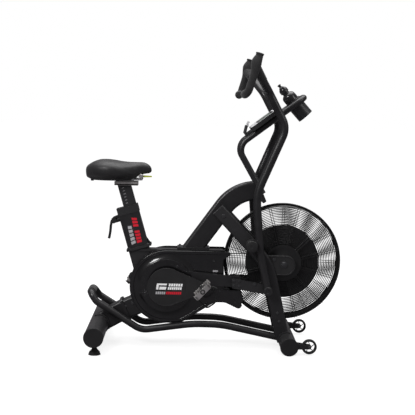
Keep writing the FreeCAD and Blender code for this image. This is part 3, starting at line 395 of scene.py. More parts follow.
# Red print with a faint emission: a painted glow that brightens it beyond what the lamps give.
RED_PRINT_GLOWING = finish("red_print_painted_glow", (0.72, 0.012, 0.03), 0.42, grain=0.5, depth=0.01, rounding=0,
                  Emission_Color=(1, 0.01, 0.04, 1), Emission_Strength=0.08)

CAD_FINISH = {  # by the start of the node's name
    "arm_tube": PAINT, "axle_bracket": MATTE, "belt": BELT, "bottle_cup": PAINT,
    "cage_rim": WIRE, "console_body": CASE, "console_button": KEY, "console_screen": WINDOW,
    "crank_arm": CRANK, "crank_axle": STEEL, "crank_drum": GLOSS, "crank_plate": MATTE,
    "drive_pulley": STEEL, "fan_axle": STEEL, "fan_rotor": ROTOR, "foot": RUBBER,
    "front_cap": MATTE, "front_stabiliser": PAINT, "keel": PAINT, "leg": PAINT,
    "link": PAINT, "main_arch": PAINT, "mast_hoop": PAINT, "pivot_axle": PAINT,
    "rail_hoop": PAINT, "rear_cap": MATTE, "rear_stabiliser": PAINT,
    "saddle_carriage": STEEL, "saddle_lever": LIME, "seat_post": PAINT,
    "seat_tube": PAINT, "shroud": GLOSS, "strut": PAINT, "wheel_bracket": PAINT,
}
for node_name, node in NODES.items():
    for stem, material in CAD_FINISH.items():
        if node_name == stem or node_name.startswith(stem + "_"):
            for material_slot in node.material_slots:
                material_slot.material = material


# ---------------------------------------------------------------- camera, light and floor
CAMERA_AT = (-0.1266, -4.417, 1.1338)  # metres
CAMERA_YAW, CAMERA_PITCH, CAMERA_ROLL = math.radians(1.09), math.radians(6.34), 0.0218
CAMERA_LENS, CAMERA_FILM = 82.4, 36.0
FLOOR_HALF = 40.0  # metres


def camera():
    """Long lens in front of the right side, looking a little down."""
    forward = Vector((math.sin(CAMERA_YAW) * math.cos(CAMERA_PITCH),
                      math.cos(CAMERA_YAW) * math.cos(CAMERA_PITCH), -math.sin(CAMERA_PITCH)))
    right = forward.cross(Vector((0, 0, 1))).normalized()
    up = right.cross(forward)
    turn = Matrix.Rotation(-CAMERA_ROLL, 3, "Y")
    axes = Matrix((turn @ right, turn @ up, turn @ -forward)).transposed()
    data = bpy.data.cameras.new("camera")
    data.lens, data.sensor_width = CAMERA_LENS, CAMERA_FILM
    data.clip_start, data.clip_end = 0.1, 200.0
    obj = bpy.data.objects.new("camera", data)
    obj.matrix_world = Matrix.Translation(CAMERA_AT) @ axes.to_4x4()
    bpy.context.scene.collection.objects.link(obj)
    bpy.context.scene.camera = obj


def softbox(name, location, target, width, height, power):
    """Rectangular area light; its places and sizes are in metres, its power in watts."""
    data = bpy.data.lights.new(name, "AREA")
    data.shape, data.size, data.size_y, data.energy = "RECTANGLE", width, height, power
    obj = bpy.data.objects.new(name, data)
    obj.location = location
    aim = Vector(target) - Vector(location)
    obj.rotation_mode = "QUATERNION"
    obj.rotation_quaternion = aim.to_track_quat("-Z", "Y")
    bpy.context.scene.collection.objects.link(obj)


def seen_by_camera(tree, others, seen, output):
    """One shader for what the camera sees directly and another for every other ray."""
    rays = tree.nodes.new("ShaderNodeLightPath")
    mix = tree.nodes.new("ShaderNodeMixShader")
    tree.links.new(rays.outputs["Is Camera Ray"], mix.inputs["Fac"])
    tree.links.new(others.outputs[0], mix.inputs[1])
    tree.links.new(seen.outputs[0], mix.inputs[2])
    tree.links.new(mix.outputs["Shader"], tree.nodes[output].inputs["Surface"])


def floor_paper():
    """Paper that looks white, but throws little of the light back on to the object."""
    paper = finish("floor_paper", (0.35, 0.35, 0.35), 0.8, grain=2.0, depth=0.01, spread=0.01,
                   rounding=0, Emission_Color=(1, 1, 1, 1), Emission_Strength=0.82)
    nodes = paper.node_tree.nodes
    shaded = nodes.new("ShaderNodeBsdfDiffuse")
    shaded.inputs["Color"].default_value = (0.16, 0.155, 0.165, 1)
    seen_by_camera(paper.node_tree, shaded, nodes["Principled BSDF"], "Material Output")
    return paper


def studio():
    """White room for the camera, dim for reflections, with one sun and three softboxes."""
    scene = bpy.context.scene
    scene.view_settings.view_transform = "Standard"
    world = bpy.data.worlds.new("studio")
    scene.world = world
    world.use_nodes = True
    nodes = world.node_tree.nodes
    seen = nodes["Background"]
    seen.inputs["Color"].default_value = (1, 1, 1, 1)
    seen.inputs["Strength"].default_value = 1.0
    dim = nodes.new("ShaderNodeBackground")
    dim.inputs["Color"].default_value = (1.0, 0.97, 1.0, 1)
    dim.inputs["Strength"].default_value = 0.16
    seen_by_camera(world.node_tree, dim, seen, "World Output")
    sun = bpy.data.lights.new("sun", "SUN")
    sun.energy, sun.angle = 1.3, math.radians(80)
    obj = bpy.data.objects.new("sun", sun)
    obj.rotation_euler = (math.radians(-6), math.radians(4), 0)
    scene.collection.objects.link(obj)
    softbox("top_box", (0.1, 0.6, 3.4), (0, 0, 0.6), 3.2, 2.6, 56)
    softbox("key_box", (-1.7, -2.4, 2.4), (0.0, 0, 0.8), 0.9, 0.9, 48)
    softbox("fan_box", (2.6, -1.6, 2.4), (0.2, 0, 0.6), 0.9, 1.6, 12)

    floor = bpy.data.meshes.new("floor")
    corners = [(a * FLOOR_HALF, b * FLOOR_HALF, 0) for a, b in
               ((-1, -1), (1, -1), (1, 1), (-1, 1))]
    floor.from_pydata(corners, [], [(0, 1, 2, 3)])
    floor.materials.append(floor_paper())
    obj = bpy.data.objects.new("floor", floor)
    scene.collection.objects.link(obj)


camera()
studio()


# ---------------------------------------------------------------- guard and drums
def guard_relief(side_name, side):
    """Moulded relief on the guard's face: a ridge, the drum's cove and a small frame."""
    piece = Piece()
    y = side * SHROUD_FACE
    ridge = [((70, y, 440), 0), ((-375, y, 440), 158), ((-375, y, 118), 158), ((-150, y, 118), 60),
             ((-20, y, 201), 0)]
    piece.tube(ridge, oblong(6.0, 15, 2.9), step=math.radians(4))
    # Radius, and height above the guard's face.
    cove = ((147, -0.5), (147, 0.4), (140, 1.0), (133, 3.0), (127, 5.6), (123, 8.0),
            (121, 8.2), (121, -0.5))
    piece.lathe([(r, SHROUD_FACE + h) for r, h in cove], (CRANK_X, 0, CRANK_Z),
                (0, side, 0), 96, closed=True)
    frame_out = [((-155, 399), 4), ((-28, 401), 4), ((-26, 356), 4), ((-154, 353), 4)]
    frame_in = [((-150, 394.5), 3), ((-32, 396.5), 3), ((-30.5, 360.5), 3), ((-149.5, 357.5), 3)]
    loops = []
    for corners, height in ((frame_out, -0.5), (frame_out, 0.7), (frame_in, 0.7),
                            (frame_in, -0.5)):
        y = side * (SHROUD_FACE + height)
        loops.append([Vector((p[0], y, p[1])) for p in rounded(corners, closed=True)])
    piece.loft(loops, closed=True)
    piece.make(f"guard_relief_{side_name}", "frame", GLOSS)


def guard_screws(side_name, side):
    """Round-headed screws in the guard's face and in the drum."""
    piece = Piece()
    spots = ((105, 208, SHROUD_FACE), (33, 262, SHROUD_FACE), (1, 403, SHROUD_FACE),
             (-168, 378, DRUM_FACE), (-315, 261, DRUM_FACE), (-132, 213, DRUM_FACE))
    for x, z, y in spots:
        piece.lathe([(5.2, -0.4), (5.2, 0.5), (4.4, 1.6), (2.6, 2.0), (2.2, 1.0), (0.5, 0.8)],
                    (x, side * y, z), (0, side, 0), 24)
    piece.make(f"guard_screws_{side_name}", "frame", BOLT_STEEL)


for side_name, side in SIDES:
    guard_relief(side_name, side)
    guard_screws(side_name, side)
label = Piece()
label.box(-2, 22, -SHROUD_FACE, -SHROUD_FACE - 0.3, 351, 360)
label.make("guard_label", "frame", GREY_MARK)


# ---------------------------------------------------------------- fan cage
CAGE_R, CAGE_WIRE = 276.0, 1.6
FACE_RINGS, INNER_RING_R, RING_PITCH, FACE_RING_Y = 23, 92, 7.6, 54.6
WALL_RING_R, WALL_RINGS_Y = 263.5, (49, 41, 33, 25, 17, 10)
SPOKE_PAIRS, SPOKE_OFFSET, SPOKE_WIRE = 12, 5, 1.4
SPOKE_Y, SPOKE_START_R, SPOKE_CORNER_R = 57.2, 78, 266.5
RIM_BOLT_R = 265.0


def cage_half(side_name, side, turn):
    """Wire face of the cage: fine rings on pairs of spokes that bend on to the rim."""
    piece = Piece()
    for i in range(FACE_RINGS):
        piece.wire_ring(FAN_X, side * FACE_RING_Y, FAN_Z, INNER_RING_R + RING_PITCH * i, CAGE_WIRE)
    for y in WALL_RINGS_Y:
        piece.wire_ring(FAN_X, side * y, FAN_Z, WALL_RING_R, CAGE_WIRE)
    for i in range(SPOKE_PAIRS):
        angle = math.radians(360 / SPOKE_PAIRS * i + turn)
        out = Vector((math.cos(angle), 0, math.sin(angle)))
        across = Vector((-out.z, 0, out.x))
        for offset in (-SPOKE_OFFSET, SPOKE_OFFSET):
            start = Vector((FAN_X, side * SPOKE_Y, FAN_Z)) + across * offset
            corner = start + out * SPOKE_CORNER_R
            foot = corner + Vector((0, -side * 52, 0))
            piece.tube([(start + out * SPOKE_START_R, 0), (corner, 9), (foot, 0)], SPOKE_WIRE,
                       sides=8)
    # Radius, and distance from the centre plane.
    hub = ((12, 54), (84, 54), (86, 56), (85, 58.2), (78, 59.4), (73, 58.6), (66, 57.6),
           (44, 57.4), (40, 59.4), (35, 60.2), (30, 59.4), (26, 61), (12, 61.4))
    piece.lathe(hub, (FAN_X, 0, FAN_Z), (0, side, 0), 72, closed=True)
    piece.make(f"cage_wires_{side_name}", "frame", WIRE,
               [f"cage_grille_{side_name}"])


def cage_rim():
    """Joint flange of the two halves: two beads, a flat band between them, and its bolts."""
    piece = Piece()
    band = ((261.5, -2), (261.5, 2), (CAGE_R - 2, 2), (CAGE_R - 2, -2))
    piece.lathe(band, (FAN_X, 0, FAN_Z), (0, 1, 0), 144, closed=True)
    for y in (-4.4, 4.4):
        piece.wire_ring(FAN_X, y, FAN_Z, CAGE_R - 4.0, 3.5, sides=12, steps=144)
    for i in range(6):
        angle = math.radians(60 * i + 20)
        x, z = FAN_X + RIM_BOLT_R * math.cos(angle), FAN_Z + RIM_BOLT_R * math.sin(angle)
        for side in (-1, 1):
            piece.bolt((x, side * 2, z), (0, side, 0), 3.4, 4.2)
    piece.make("cage_band", "frame", WIRE, ["cage_rim"])


def bracket_trim(side_name, side):
    """Rolled lip around the axle bracket's nose, with its nut and two bolts."""
    low, high = FAN_Z - 51.0, FAN_Z + 41.0
    nose_x, middle = FAN_X + 8, (low + high) / 2
    radius = (high - low) / 2 - 3
    y = side * BRACKET_FACE
    path = [Vector((246, y, middle + radius))]
    for i in range(25):
        angle = math.radians(90 - 180 * i / 24)
        path.append(Vector((nose_x + radius * math.cos(angle), y,
                            middle + radius * math.sin(angle))))
    path.append(Vector((262, y, middle - radius)))
    piece = Piece()
    piece.tube([(p, 0) for p in path], 2.6, sides=10)
    piece.make(f"bracket_lip_{side_name}", "frame", PAINT)
    hardware = Piece()
    centre, axis = (FAN_X, y, FAN_Z), (0, side, 0)
    hardware.lathe([(17, -0.5), (17, 1.6), (11, 1.8)], centre, axis, 36)
    hardware.lathe([(13, 1.4), (13, 8.5), (11.4, 10), (6.5, 10), (5.6, 12.5), (1, 12.5)],
                   centre, axis, 6)
    for z in (FAN_Z + 22, FAN_Z - 32):
        hardware.bolt((278, y, z), axis, 5.2, 5.5)
    hardware.make(f"axle_nut_{side_name}", "frame", BOLT_STEEL)


for side_name, side in SIDES:
    cage_half(side_name, side, 15.0 if side < 0 else 28.0)
    bracket_trim(side_name, side)
cage_rim()


# ---------------------------------------------------------------- crank, links and arms
def crank_marks(side_name, side):
    """Plain blocks printed on the crank's cover, its rolled lip and the pin's cap."""
    way = -side  # the left crank is the right one turned by half a turn

    def marks(name, shapes, material):
        piece = Piece()
        for corners in shapes:
            piece.prism([(CRANK_X + way * (x - CRANK_X), CRANK_Z + way * (z - CRANK_Z))
                         for x, z in corners],
                        side * (CRANK_FACE - SUNK), side * (CRANK_FACE + 0.3))
        piece.make(f"{name}_{side_name}", "crank", material)

    def blocks(x0, x1, z0, z1, count):
        """Slanted blocks in a row, as corner lists."""
        pitch = (x1 - x0) / count
        slant = (z1 - z0) * 0.16
        return [((x0 + pitch * i + slant, z1), (x0 + pitch * (i + 0.78) + slant, z1),
                 (x0 + pitch * (i + 0.78), z0), (x0 + pitch * i, z0)) for i in range(count)]

    emblem = [((-258, 305), (-212, 305), (-214, 297), (-260, 297)),
              ((-260, 297), (-250, 297), (-252, 277), (-262, 277)),
              ((-246, 290), (-215, 290), (-218, 277), (-248, 277))]
    # The white and red blocks carry a painted glow from their materials' emission.
    marks("crank_mark_emblem", emblem, WHITE_PRINT_GLOWING)
    marks("crank_marks_white", blocks(-205, -140, 292.5, 305, 6)
          + blocks(-209, -144, 277, 289, 7), WHITE_PRINT_GLOWING)
    marks("crank_marks_grey", blocks(-265, -219, 255, 267, 5), GREY_MARK)
    marks("crank_marks_red", blocks(-217, -146, 255, 267, 8), RED_PRINT_GLOWING)
    piece = Piece()
    y, axis = side * CRANK_FACE, (0, side, 0)
    # Radius, and height above the cover.
    lip = ((87.4, -3.2), (88.4, -2.6), (88.4, -0.8), (87.2, 0.3), (85.4, 0.5), (84.6, 0.0),
           (84.6, -3.2))
    piece.lathe(lip, (CRANK_X, y, CRANK_Z), axis, 96, closed=True)
    cap = ((13.5, -0.5), (13.5, 1.4), (12, 2.2), (8, 2.2), (7.2, -0.4))
    piece.lathe(cap, (CRANK_X + way * CRANK_THROW, y, CRANK_Z), axis, 40, closed=True)
    piece.make(f"crank_lip_{side_name}", "crank", MATTE)


def link_bolts(side_name, side):
    """Four bolts behind the arm's foot and a larger one nearer to it, along the link."""
    piece = Piece()
    rear_z = CRANK_Z - side * LINK_THROW
    slope = (ARM_END_Z + LINK_RISE - rear_z) / (ARM_END_X - CRANK_X)
    for x, rise, radius, height in ((94, 12, 4.6, 5.0), (120, 12, 4.6, 5.0), (94, -12, 4.6, 5.0),
                                    (120, -12, 4.6, 5.0), (189, 4, 6.2, 6.5)):
        z = rear_z + slope * (x - CRANK_X) + rise
        piece.bolt((x, side * LINK_FACE, z), (0, side, 0), radius, height)
    piece.make(f"link_bolts_{side_name}", f"link_{side_name}", BOLT_STEEL)


def arm_caps(side_name, side):
    """Round caps on the arm's foot and on the end of the axle that it swings on."""
    foot = Piece()
    foot.lathe([(20.4, -1), (20.4, 1.5), (18.5, 3.4), (9, 3.8), (8, 2.6), (1, 2.4)],
               (ARM_END_X, side * ARM_END_FACE, ARM_END_Z), (0, side, 0), 40)
    foot.make(f"arm_end_cap_{side_name}", f"arm_{side_name}", PAINT)
    pivot = Piece()
    pivot.lathe([(26.4, -3), (27, -1.5), (27, 1), (25, 3.6), (18, 5), (8, 5.4), (7, 4.4),
                 (1, 4.2)], (PIVOT_X, side * PIVOT_FACE, PIVOT_Z), (0, side, 0), 48)
    pivot.make(f"pivot_cap_{side_name}", "frame", MATTE)


for side_name, side in SIDES:
    crank_marks(side_name, side)
    link_bolts(side_name, side)
    arm_caps(side_name, side)


# ---------------------------------------------------------------- pedals
PEDAL_Y, PEDAL_WIDTH = 180.0, 95.0
PEDAL_TILT = math.radians(-47)


def pedal(side_name, side):
    """Cage pedal: two toothed plates, a barrel, cross bars, and a toe strap below."""
    turn = (Matrix.Translation((CRANK_X - side * CRANK_THROW, 0, CRANK_Z))
            @ Matrix.Rotation(PEDAL_TILT, 4, "Y"))
    y, low, high = (side * (PEDAL_Y + PEDAL_WIDTH * share) for share in (0, -0.5, 0.5))
    plates = Piece()
    plates.turn = turn
    teeth = []
    for i in range(9):
        x = -42 + 84 * i / 8
        teeth += [(x - 2.6, 11.5), (x, 14.5), (x + 2.6, 11.5)]
    outline = [(-45, -8), (-38, -13), (38, -13), (45, -8), (45, 9)]
    outline += [(min(44.5, max(-44.5, x)), z) for x, z in reversed(teeth)] + [(-45, 9)]
    for start in (low, high - side * 3):
        plates.prism(outline, start, start + side * 3, 0.5)
    for x in (-38, 38):
        plates.box(x - 3.5, x + 3.5, low, high, -11, 9, 1.2)
    plates.make(f"pedal_plates_{side_name}", f"pedal_{side_name}", ALLOY,
                [f"pedal_{side_name}"])
    core = Piece()
    core.turn = turn
    # Radius and distance from the centre plane.
    barrel = [(12, 130.6), (13.5, 131), (13.5, 136), (11.5, 140), (10.5, 160), (10.5, 200),
              (12.5, 220), (13, 226.5), (10, 229), (6, 229.2), (6, 229.0), (7.3, 228),
              (7.3, 130.6)]
    core.lathe(barrel, (0, 0, 0), (0, side, 0), 32, closed=True)
    for x in (-24, 24):
        core.box(x - 2.5, x + 2.5, low + side * 2, high - side * 2, -8, 7, 1.0)
    core.make(f"pedal_core_{side_name}", f"pedal_{side_name}", CRANK)
    strap = Piece()
    strap.turn = turn
    loop = [((-42, y, -4), 0), ((-45, y, -30), 40), ((-50, y, -72), 18), ((6, y, -84), 28),
            ((36, y, -40), 60), ((41, y, -4), 0)]
    strap.tube(loop, oblong(24, 2.6, 1.0), step=math.radians(7))
    tail = [((38, y, -20), 0), ((46, y, -26), 6), ((52, y, -42), 0)]
    strap.tube(tail, oblong(22, 2.2, 0.8))
    strap.box(28, 42, y - side * 15, y + side * 15, -34, -26, 1.5)
    strap.make(f"pedal_strap_{side_name}", f"pedal_{side_name}", RUBBER)


for side_name, side in SIDES:
    pedal(side_name, side)


# ---------------------------------------------------------------- hand grips and lift handle
# x, distance from the centre plane, z and radius, from the top of the grip to its inner end.
GRIP_ROWS = (
    (171, 322, 1345, 15.6), (168, 322, 1334, 17.0), (163, 322, 1323, 20.2),
    (158, 322, 1311, 22.6), (156, 322, 1299, 22.4), (153.5, 322, 1284, 20.2),
    (150, 321, 1264, 17.9), (144.8, 320, 1246, 17.0), (137.8, 319, 1222, 16.9),
    (131, 316.5, 1200, 16.8), (126.5, 312, 1186, 16.9), (121, 304, 1179, 17.6),
    (118, 291, 1176, 18.6), (116, 272, 1174, 19), (115.5, 244, 1173, 18.8),
    (115, 230, 1172, 18.0))
JOINT_ROWS = ((193, 238, 1235, 19.4), (175, 276, 1261, 20.0), (163, 301, 1278, 20.8),
              (156, 316, 1290, 20.4))
SLEEVE_X, SLEEVE_Z = -566, 244


def grip(side_name, side):
    """Foam grip, swollen for the palm, with end plugs and a moulded joint on the arm."""
    foam, joint = ([(Vector((x, side * y, z)), radius)
                    for x, y, z, radius in smooth_rows(rows, 4)]
                   for rows in (GRIP_ROWS, JOINT_ROWS))
    top, below, inner = (Vector((x, side * y, z)) for x, y, z, _ in
                         (GRIP_ROWS[0], GRIP_ROWS[1], GRIP_ROWS[-1]))
    piece = Piece()
    piece.limb(foam)
    piece.lathe([(17.4, -3.5), (18, -2.5), (18, 1.5), (16.5, 3.6), (9, 4.6), (8, 3.8), (1, 3.6)],
                top, top - below, 32)
    piece.lathe([(18.0, -1), (17.4, 3), (14, 5.4), (8, 6), (1, 6)], inner, (0, -side, 0), 32)
    piece.limb(joint)
    piece.make(f"grip_sleeve_{side_name}", f"arm_{side_name}", FOAM,
               [f"arm_grip_{side_name}"])


for side_name, side in SIDES:
    grip(side_name, side)

sleeve = Piece()
sleeve.lathe([(16.8, -41), (18.6, -40.4), (19.4, -38.5), (19.4, 38.5), (18.6, 40.4), (16.8, 41)],
             (SLEEVE_X, 0, SLEEVE_Z), (0, 1, 0), 40)
sleeve.make("handle_sleeve", "frame", FOAM, ["lift_grip"])


# ---------------------------------------------------------------- bottle and its cup
BOTTLE_LEAN = math.radians(42.6)
BOTTLE_ALONG, BOTTLE_ABOVE = 339, -76  # of its foot, on the console's slope


def bottle():
    """Wide glossy bottle, shoulder and neck, a lugged cap with a spout, and the cup's lip."""
    foot = mast3(BOTTLE_ALONG, BOTTLE_ABOVE, 0)
    axis = Vector((-math.sin(BOTTLE_LEAN), 0, math.cos(BOTTLE_LEAN)))
    across = Vector((math.cos(BOTTLE_LEAN), 0, math.sin(BOTTLE_LEAN)))
    piece = Piece()
    body = [(20, 4.5), (29, 3.7), (31.9, 6), (32.5, 12), (32.5, 92), (31.9, 95), (31.9, 97),
            (32.5, 100), (32.5, 112), (32.0, 120), (30.4, 126), (26, 131.5), (20, 135.5),
            (16.4, 138), (16.2, 142), (16.2, 148), (3, 148)]
    piece.lathe(body, foot, axis, 64)
    cap = [(16.4, 144), (19.6, 145), (20.4, 147), (20.4, 158), (19.4, 163), (17, 167),
           (13.4, 171), (11.6, 173), (10.6, 176), (6.4, 178), (6.0, 184), (8.2, 186),
           (8.2, 190.5), (6.6, 191.8), (2, 191.8)]
    piece.lathe(cap, foot, axis, 48)
    for i in range(4):
        angle = math.radians(90 * i + 18)
        out = across * math.cos(angle) + Vector((0, 1, 0)) * math.sin(angle)
        at = foot + axis * (168 if i % 2 else 160)
        piece.lathe([(6.4, 8), (6.0, 17), (5.0, 19.6), (2.6, 21)], at, out, 20)
    piece.make("bottle_shell", "bottle", BOTTLE, ["bottle"])
    lip = Piece()
    lip.lathe([(37.4, 86), (39.0, 87), (39.2, 91), (38.2, 93), (36.4, 93), (35.8, 91),
               (35.8, 86)], foot, axis, 64, closed=True)
    lip.make("cup_ribs", "frame", PAINT)


bottle()


# ---------------------------------------------------------------- transport wheels
WHEEL_X, WHEEL_Y, WHEEL_Z, WHEEL_HALF = 440.0, 203.0, 39.5, 10.0
WHEEL_SPOKES = 5


def wheel(side_name, side):
    """Round-shouldered tyre on a dished hub with curved spokes, and its axle's bolt heads."""
    x, y, z = centre = (WHEEL_X, side * WHEEL_Y, WHEEL_Z)
    half, axis = WHEEL_HALF, (0, 1, 0)
    tyre = Piece()
    profile = [(24.5, -half + 1.5), (29, -half), (32.5, -half + 1.2), (34.2, -half + 4.4),
               (34.5, 0), (34.2, half - 4.4), (32.5, half - 1.2), (29, half), (24.5, half - 1.5)]
    tyre.lathe(profile, centre, axis, 64, closed=True)
    tyre.make(f"wheel_tyre_{side_name}", f"wheel_{side_name}", TYRE,
              [f"wheel_{side_name}"])
    hub = Piece()
    hub.lathe([(24.4, -half + 2.4), (26.4, -half + 1.8), (26.4, half - 1.8), (24.4, half - 2.4)],
              centre, axis, 64, closed=True)
    hub.lathe([(4.2, -half + 0.4), (8.4, -half + 0.6), (10, -half + 3), (10, half - 3),
               (8.4, half - 0.6), (4.2, half - 0.4)], centre, axis, 32, closed=True)
    for i in range(WHEEL_SPOKES):
        angle = 2 * math.pi * i / WHEEL_SPOKES
        points = [((x + radius * math.cos(angle + swing), y,
                    z + radius * math.sin(angle + swing)), 0)
                  for radius, swing in ((8, 0.0), (14, 0.28), (19, 0.42), (24.5, 0.46))]
        hub.tube(points, oblong(half * 0.6, 3.0, 1.0))
    hub.make(f"wheel_hub_{side_name}", f"wheel_{side_name}", TYRE)
    bolts = Piece()
    for end in (-1, 1):
        bolts.bolt((x, y + end * 16.0, z), (0, end, 0), 5.4, 5.0)
    bolts.make(f"wheel_bolts_{side_name}", "frame", BOLT_STEEL)


for side_name, side in SIDES:
    wheel(side_name, side)


# ---------------------------------------------------------------- saddle
SADDLE_ROWS = (  # x, half width, top, bottom
    (-598, 34, 828, 785), (-594, 50, 837, 778), (-584, 66, 845, 773), (-569, 82, 853, 770),
    (-540, 104, 860, 769), (-505, 117, 862, 769), (-470, 118, 859, 769), (-430, 103, 853, 769),
    (-395, 76, 851, 771), (-372, 56, 851, 776), (-357, 45, 851, 789), (-340, 39, 851, 796),
    (-320, 33, 849, 800), (-306, 27, 843, 802), (-298, 20, 835, 804), (-293, 13, 826, 809))
PUFF = 3.0  # how far the padding may swell beyond the shape that is drawn
PAD_SIDES = 44
GROOVE_DEPTH, GROOVE_WIDTH, GROOVE_FRONT_X = 4.0, 9, -400
SHELL_X = -455  # middle of the plastic shell


def applied(obj):
    """Bake the object's modifiers into its mesh."""
    graph = bpy.context.evaluated_depsgraph_get()
    mesh = bpy.data.meshes.new_from_object(obj.evaluated_get(graph))
    obj.modifiers.clear()
    obj.data = mesh


def puffed(obj, voxel, cap, pressure=4.0, frames=16):
    """Inflate a padded piece by a short cloth simulation, moving no point by more than cap.

    voxel and cap are in mm.
    """
    remesh = obj.modifiers.new("remesh", "REMESH")
    remesh.mode, remesh.voxel_size = "VOXEL", voxel * MM
    applied(obj)
    start = [v.co.copy() for v in obj.data.vertices]
    cloth = obj.modifiers.new("cloth", "CLOTH")
    cloth.settings.use_pressure = True
    cloth.settings.uniform_pressure_force = pressure
    cloth.settings.effector_weights.gravity = 0
    cloth.settings.quality = 5
    cloth.point_cache.frame_start, cloth.point_cache.frame_end = 1, frames
    for number in range(1, frames + 1):
        bpy.context.scene.frame_set(number)
    applied(obj)
    bpy.context.scene.frame_set(1)
    for vertex, home in zip(obj.data.vertices, start):
        move = vertex.co - home
        if move.length > cap * MM:
            vertex.co = home + move.normalized() * cap * MM
    fine = obj.modifiers.new("fine", "SUBSURF")
    fine.levels = fine.render_levels = 1
    applied(obj)
    obj.data.shade_smooth()


def saddle():
    """Padded cover with a groove along its rear half, and the plastic shell below."""
    pad = Piece()
    rings = []
    for x, half, top, low in smooth_rows(SADDLE_ROWS, 4):
        middle = low + (top - low) * 0.52
        ring = []
        for c, s in circle(1, PAD_SIDES):
            y = (half - PUFF) * math.copysign(abs(c) ** 0.72, c)
            if s > 0:
                z = middle + (top - PUFF - middle) * s ** 0.82
                if x < GROOVE_FRONT_X:
                    z -= GROOVE_DEPTH * math.exp(-(y / GROOVE_WIDTH) ** 2)
            else:
                z = middle - (middle - low - 1) * abs(s) ** 0.62
            ring.append(Vector((x, y, z)))
        rings.append(ring)
    pad.loft(rings)
    cover = pad.make("saddle_pad", "saddle", LEATHER, ["saddle"])
    puffed(cover, voxel=5.0, cap=PUFF)

    shell = Piece()
    edge = [(x, half * 0.86 - 8) for x, half, _, _ in smooth_rows(SADDLE_ROWS, 3)
            if -578 < x < -366]
    loop = edge + [(x, -y) for x, y in reversed(edge)]
    shell.loft([[Vector((SHELL_X + (x - SHELL_X) * (0.5 + share / 2), y * share, z))
                 for x, y in loop]
                for z, share in ((768, 0.80), (770, 0.90), (777, 0.94), (783, 0.94))])
    for y in (-46, 46):
        shell.lathe([(7, 0), (7.5, -2), (7.5, -6), (6, -8.5), (2, -9)], (-566, y, 773),
                    (0, 0, 1), 28)
    shell.make("saddle_shell", "saddle", MATTE)


saddle()


# ---------------------------------------------------------------- seat post, lever and bolts
SCALE_MARKS = 7
# For each printed field: four corners as (along, ahead), upper rear, upper front, lower rear
# and lower front, then how many blocks share its length, and which of them is left out.
# The red field's material carries a painted glow from its emission.
FIELDS = (("tube_bar_red", RED_PRINT_GLOWING, (78.5, 6), (72, 30), (-47, 1), (-46, 24), 8, 3),
          ("tube_bar_grey", GREY_MARK, (44.6, -21), (42.4, -4), (-49, -26), (-45, -5), 5, None))


def post_scale():
    """Short marks down both sides of the seat post."""
    piece = Piece()
    for i in range(SCALE_MARKS):
        share = i / (SCALE_MARKS - 1)
        along, ahead = 236 - 88 * share, 6 - 2 * share
        outline = [(along - 0.8, ahead - 5), (along + 0.8, ahead - 5), (along + 0.8, ahead + 5),
                   (along - 0.8, ahead + 5)]
        for side in (-1, 1):
            piece.plate(seat_side, outline, side * (POST_FACE - SUNK), side * (POST_FACE + 0.15))
    piece.make("post_scale", "seat_post", GREY_MARK)


def tube_print():
    """Rows of plain blocks printed on both sides of the seat tube."""
    for name, material, *corners, count, missing in FIELDS:
        rear, front, low_rear, low_front = (Vector(corner) for corner in corners)
        piece = Piece()
        for i in range(count):
            if i == missing:
                continue
            first, last = (i + 0.1) / count, (i + 0.86) / count
            outline = [rear.lerp(low_rear, first), rear.lerp(low_rear, last),
                       front.lerp(low_front, last), front.lerp(low_front, first)]
            for side in (-1, 1):
                piece.plate(seat_side, outline,
                            side * (TUBE_FACE - SUNK), side * (TUBE_FACE + 0.25))
        piece.make(name, "frame", material)


def slide_hardware():
    """Steel channel of the slide, and the round boss on which its lever turns."""
    channel = Piece()
    rear, front, low = -466, -357, 743.5
    channel.box(rear, front, -28, 28, low, 751.0, 1.2)
    for side in (-1, 1):
        channel.box(rear, front, side * 28, side * 26.2, low, 762.0, 0.6)
    channel.make("slide_channel", "seat_post", ALLOY)
    piece = Piece()
    piece.lathe([(9, -34), (10.5, -32.5), (10.5, -27), (9, -25.5), (5, -25), (5, -18)],
                (-344, 0, 788), (0, 1, 0), 28)
    piece.make("lever_boss", "saddle", ALLOY)


def clamp_lever():
    """Bent flat lever that hangs behind the collar, on a round boss."""
    centre = seat3(84, -46, 0) - Vector((math.cos(SEAT_LEAN), 0, math.sin(SEAT_LEAN))) * 32
    lever = Piece()
    path = ((-446, 600), (-465, 592), (-477, 575), (-481, 553), (-482, 534), (-485, 512),
            (-489, 493))
    lever.tube([((x, -18, z), 12) for x, z in path], oblong(4.6, 12, 2.0), step=math.radians(6))
    lever.lathe([(12, -22), (12.5, -20), (12.5, -15), (11, -14)], centre, (0, 1, 0), 32)
    lever.lathe([(4, -21), (4, 20.8)], centre, (0, 1, 0), 20)
    lever.make("clamp_lever", "post_lever", LEVER, ["post_lever"])


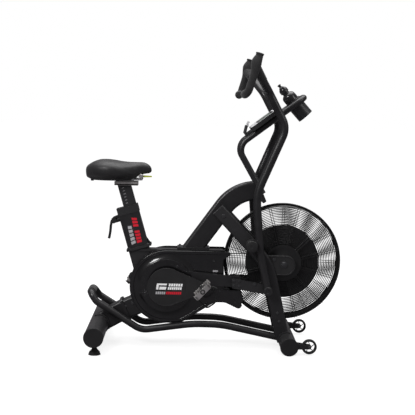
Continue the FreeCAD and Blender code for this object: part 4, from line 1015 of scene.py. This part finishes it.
def flange_bolts():
    """Bolts in the seat tube's flange, the arch's base, the strut and the legs."""
    piece = Piece()
    up = Vector((-math.sin(SEAT_LEAN), 0, math.cos(SEAT_LEAN)))
    for ahead in (-41, 47):
        for y in (-30, 30):
            piece.bolt(seat3(-62, ahead, y), up, 5.0, 5.5)
    for x in (-158, -32):
        for y in (-34, 34):
            piece.bolt((x, y, SHELF_Z + 8), (0, 0, 1), 5.0, 5.5)
    for x, z in ((-405, 176), (-374, 190)):
        for side in (-1, 1):
            piece.bolt((x, side * STRUT_FACE, z), (0, side, 0), 4.6, 5.0)
    for side in (-1, 1):
        for x, z, size in ((41, 619, 6.0), (300, 172, 5.0), (309, 132, 5.0)):
            piece.bolt((x, side * LEG_FACE, z), (0, side, 0), size, size)
    piece.make("frame_bolts", "frame", BOLT_STEEL)


post_scale()
tube_print()
slide_hardware()
clamp_lever()
flange_bolts()


# ---------------------------------------------------------------- console
def field(low, high, y0, y1):
    """Corners of a rectangle on the console, as (along, y)."""
    return [(low, y0), (high, y0), (high, y1), (low, y1)]


def console():
    """Light edging plate, window fields, the rest's prongs, and ribs under the housing."""
    outer = [(corner, 6) for corner in field(102, 236, -90, 90)]
    inner = [(corner, 5) for corner in field(137, 226, -80, 80)]
    bezel = Piece()
    bezel.loft([[mast3(p[0], above, p[1]) for p in rounded(corners, closed=True)]
                for corners, above in ((outer, 31.6), (outer, 34.3), (inner, 34.6),
                                       (inner, 31.6))], closed=True)
    bezel.make("console_bezel", "frame", TRIM)
    glass = Piece()
    for place in ((150, 214, -66, -24), (150, 176, -16, 66), (184, 214, -16, 22),
                  (184, 214, 28, 66)):
        glass.plate(mast3, field(*place), 33.9, 34.3)
    glass.make("display_fields", "frame", SEGMENT)
    clip = Piece()
    for y in (-44, 44):
        clip.tube([(mast3(92, 46, y), 0), (mast3(104, 56, y), 8), (mast3(112, 60, y), 0)], 3.2)
    clip.make("rest_prongs", "frame", TRIM)
    ribs = Piece()
    for y in (-60, -30, 0, 30, 60):
        ribs.plate(mast3, field(112, 224, y - 1.5, y + 1.5), 12.0, 15.0)
    ribs.make("console_ribs", "frame", CASE)


console()
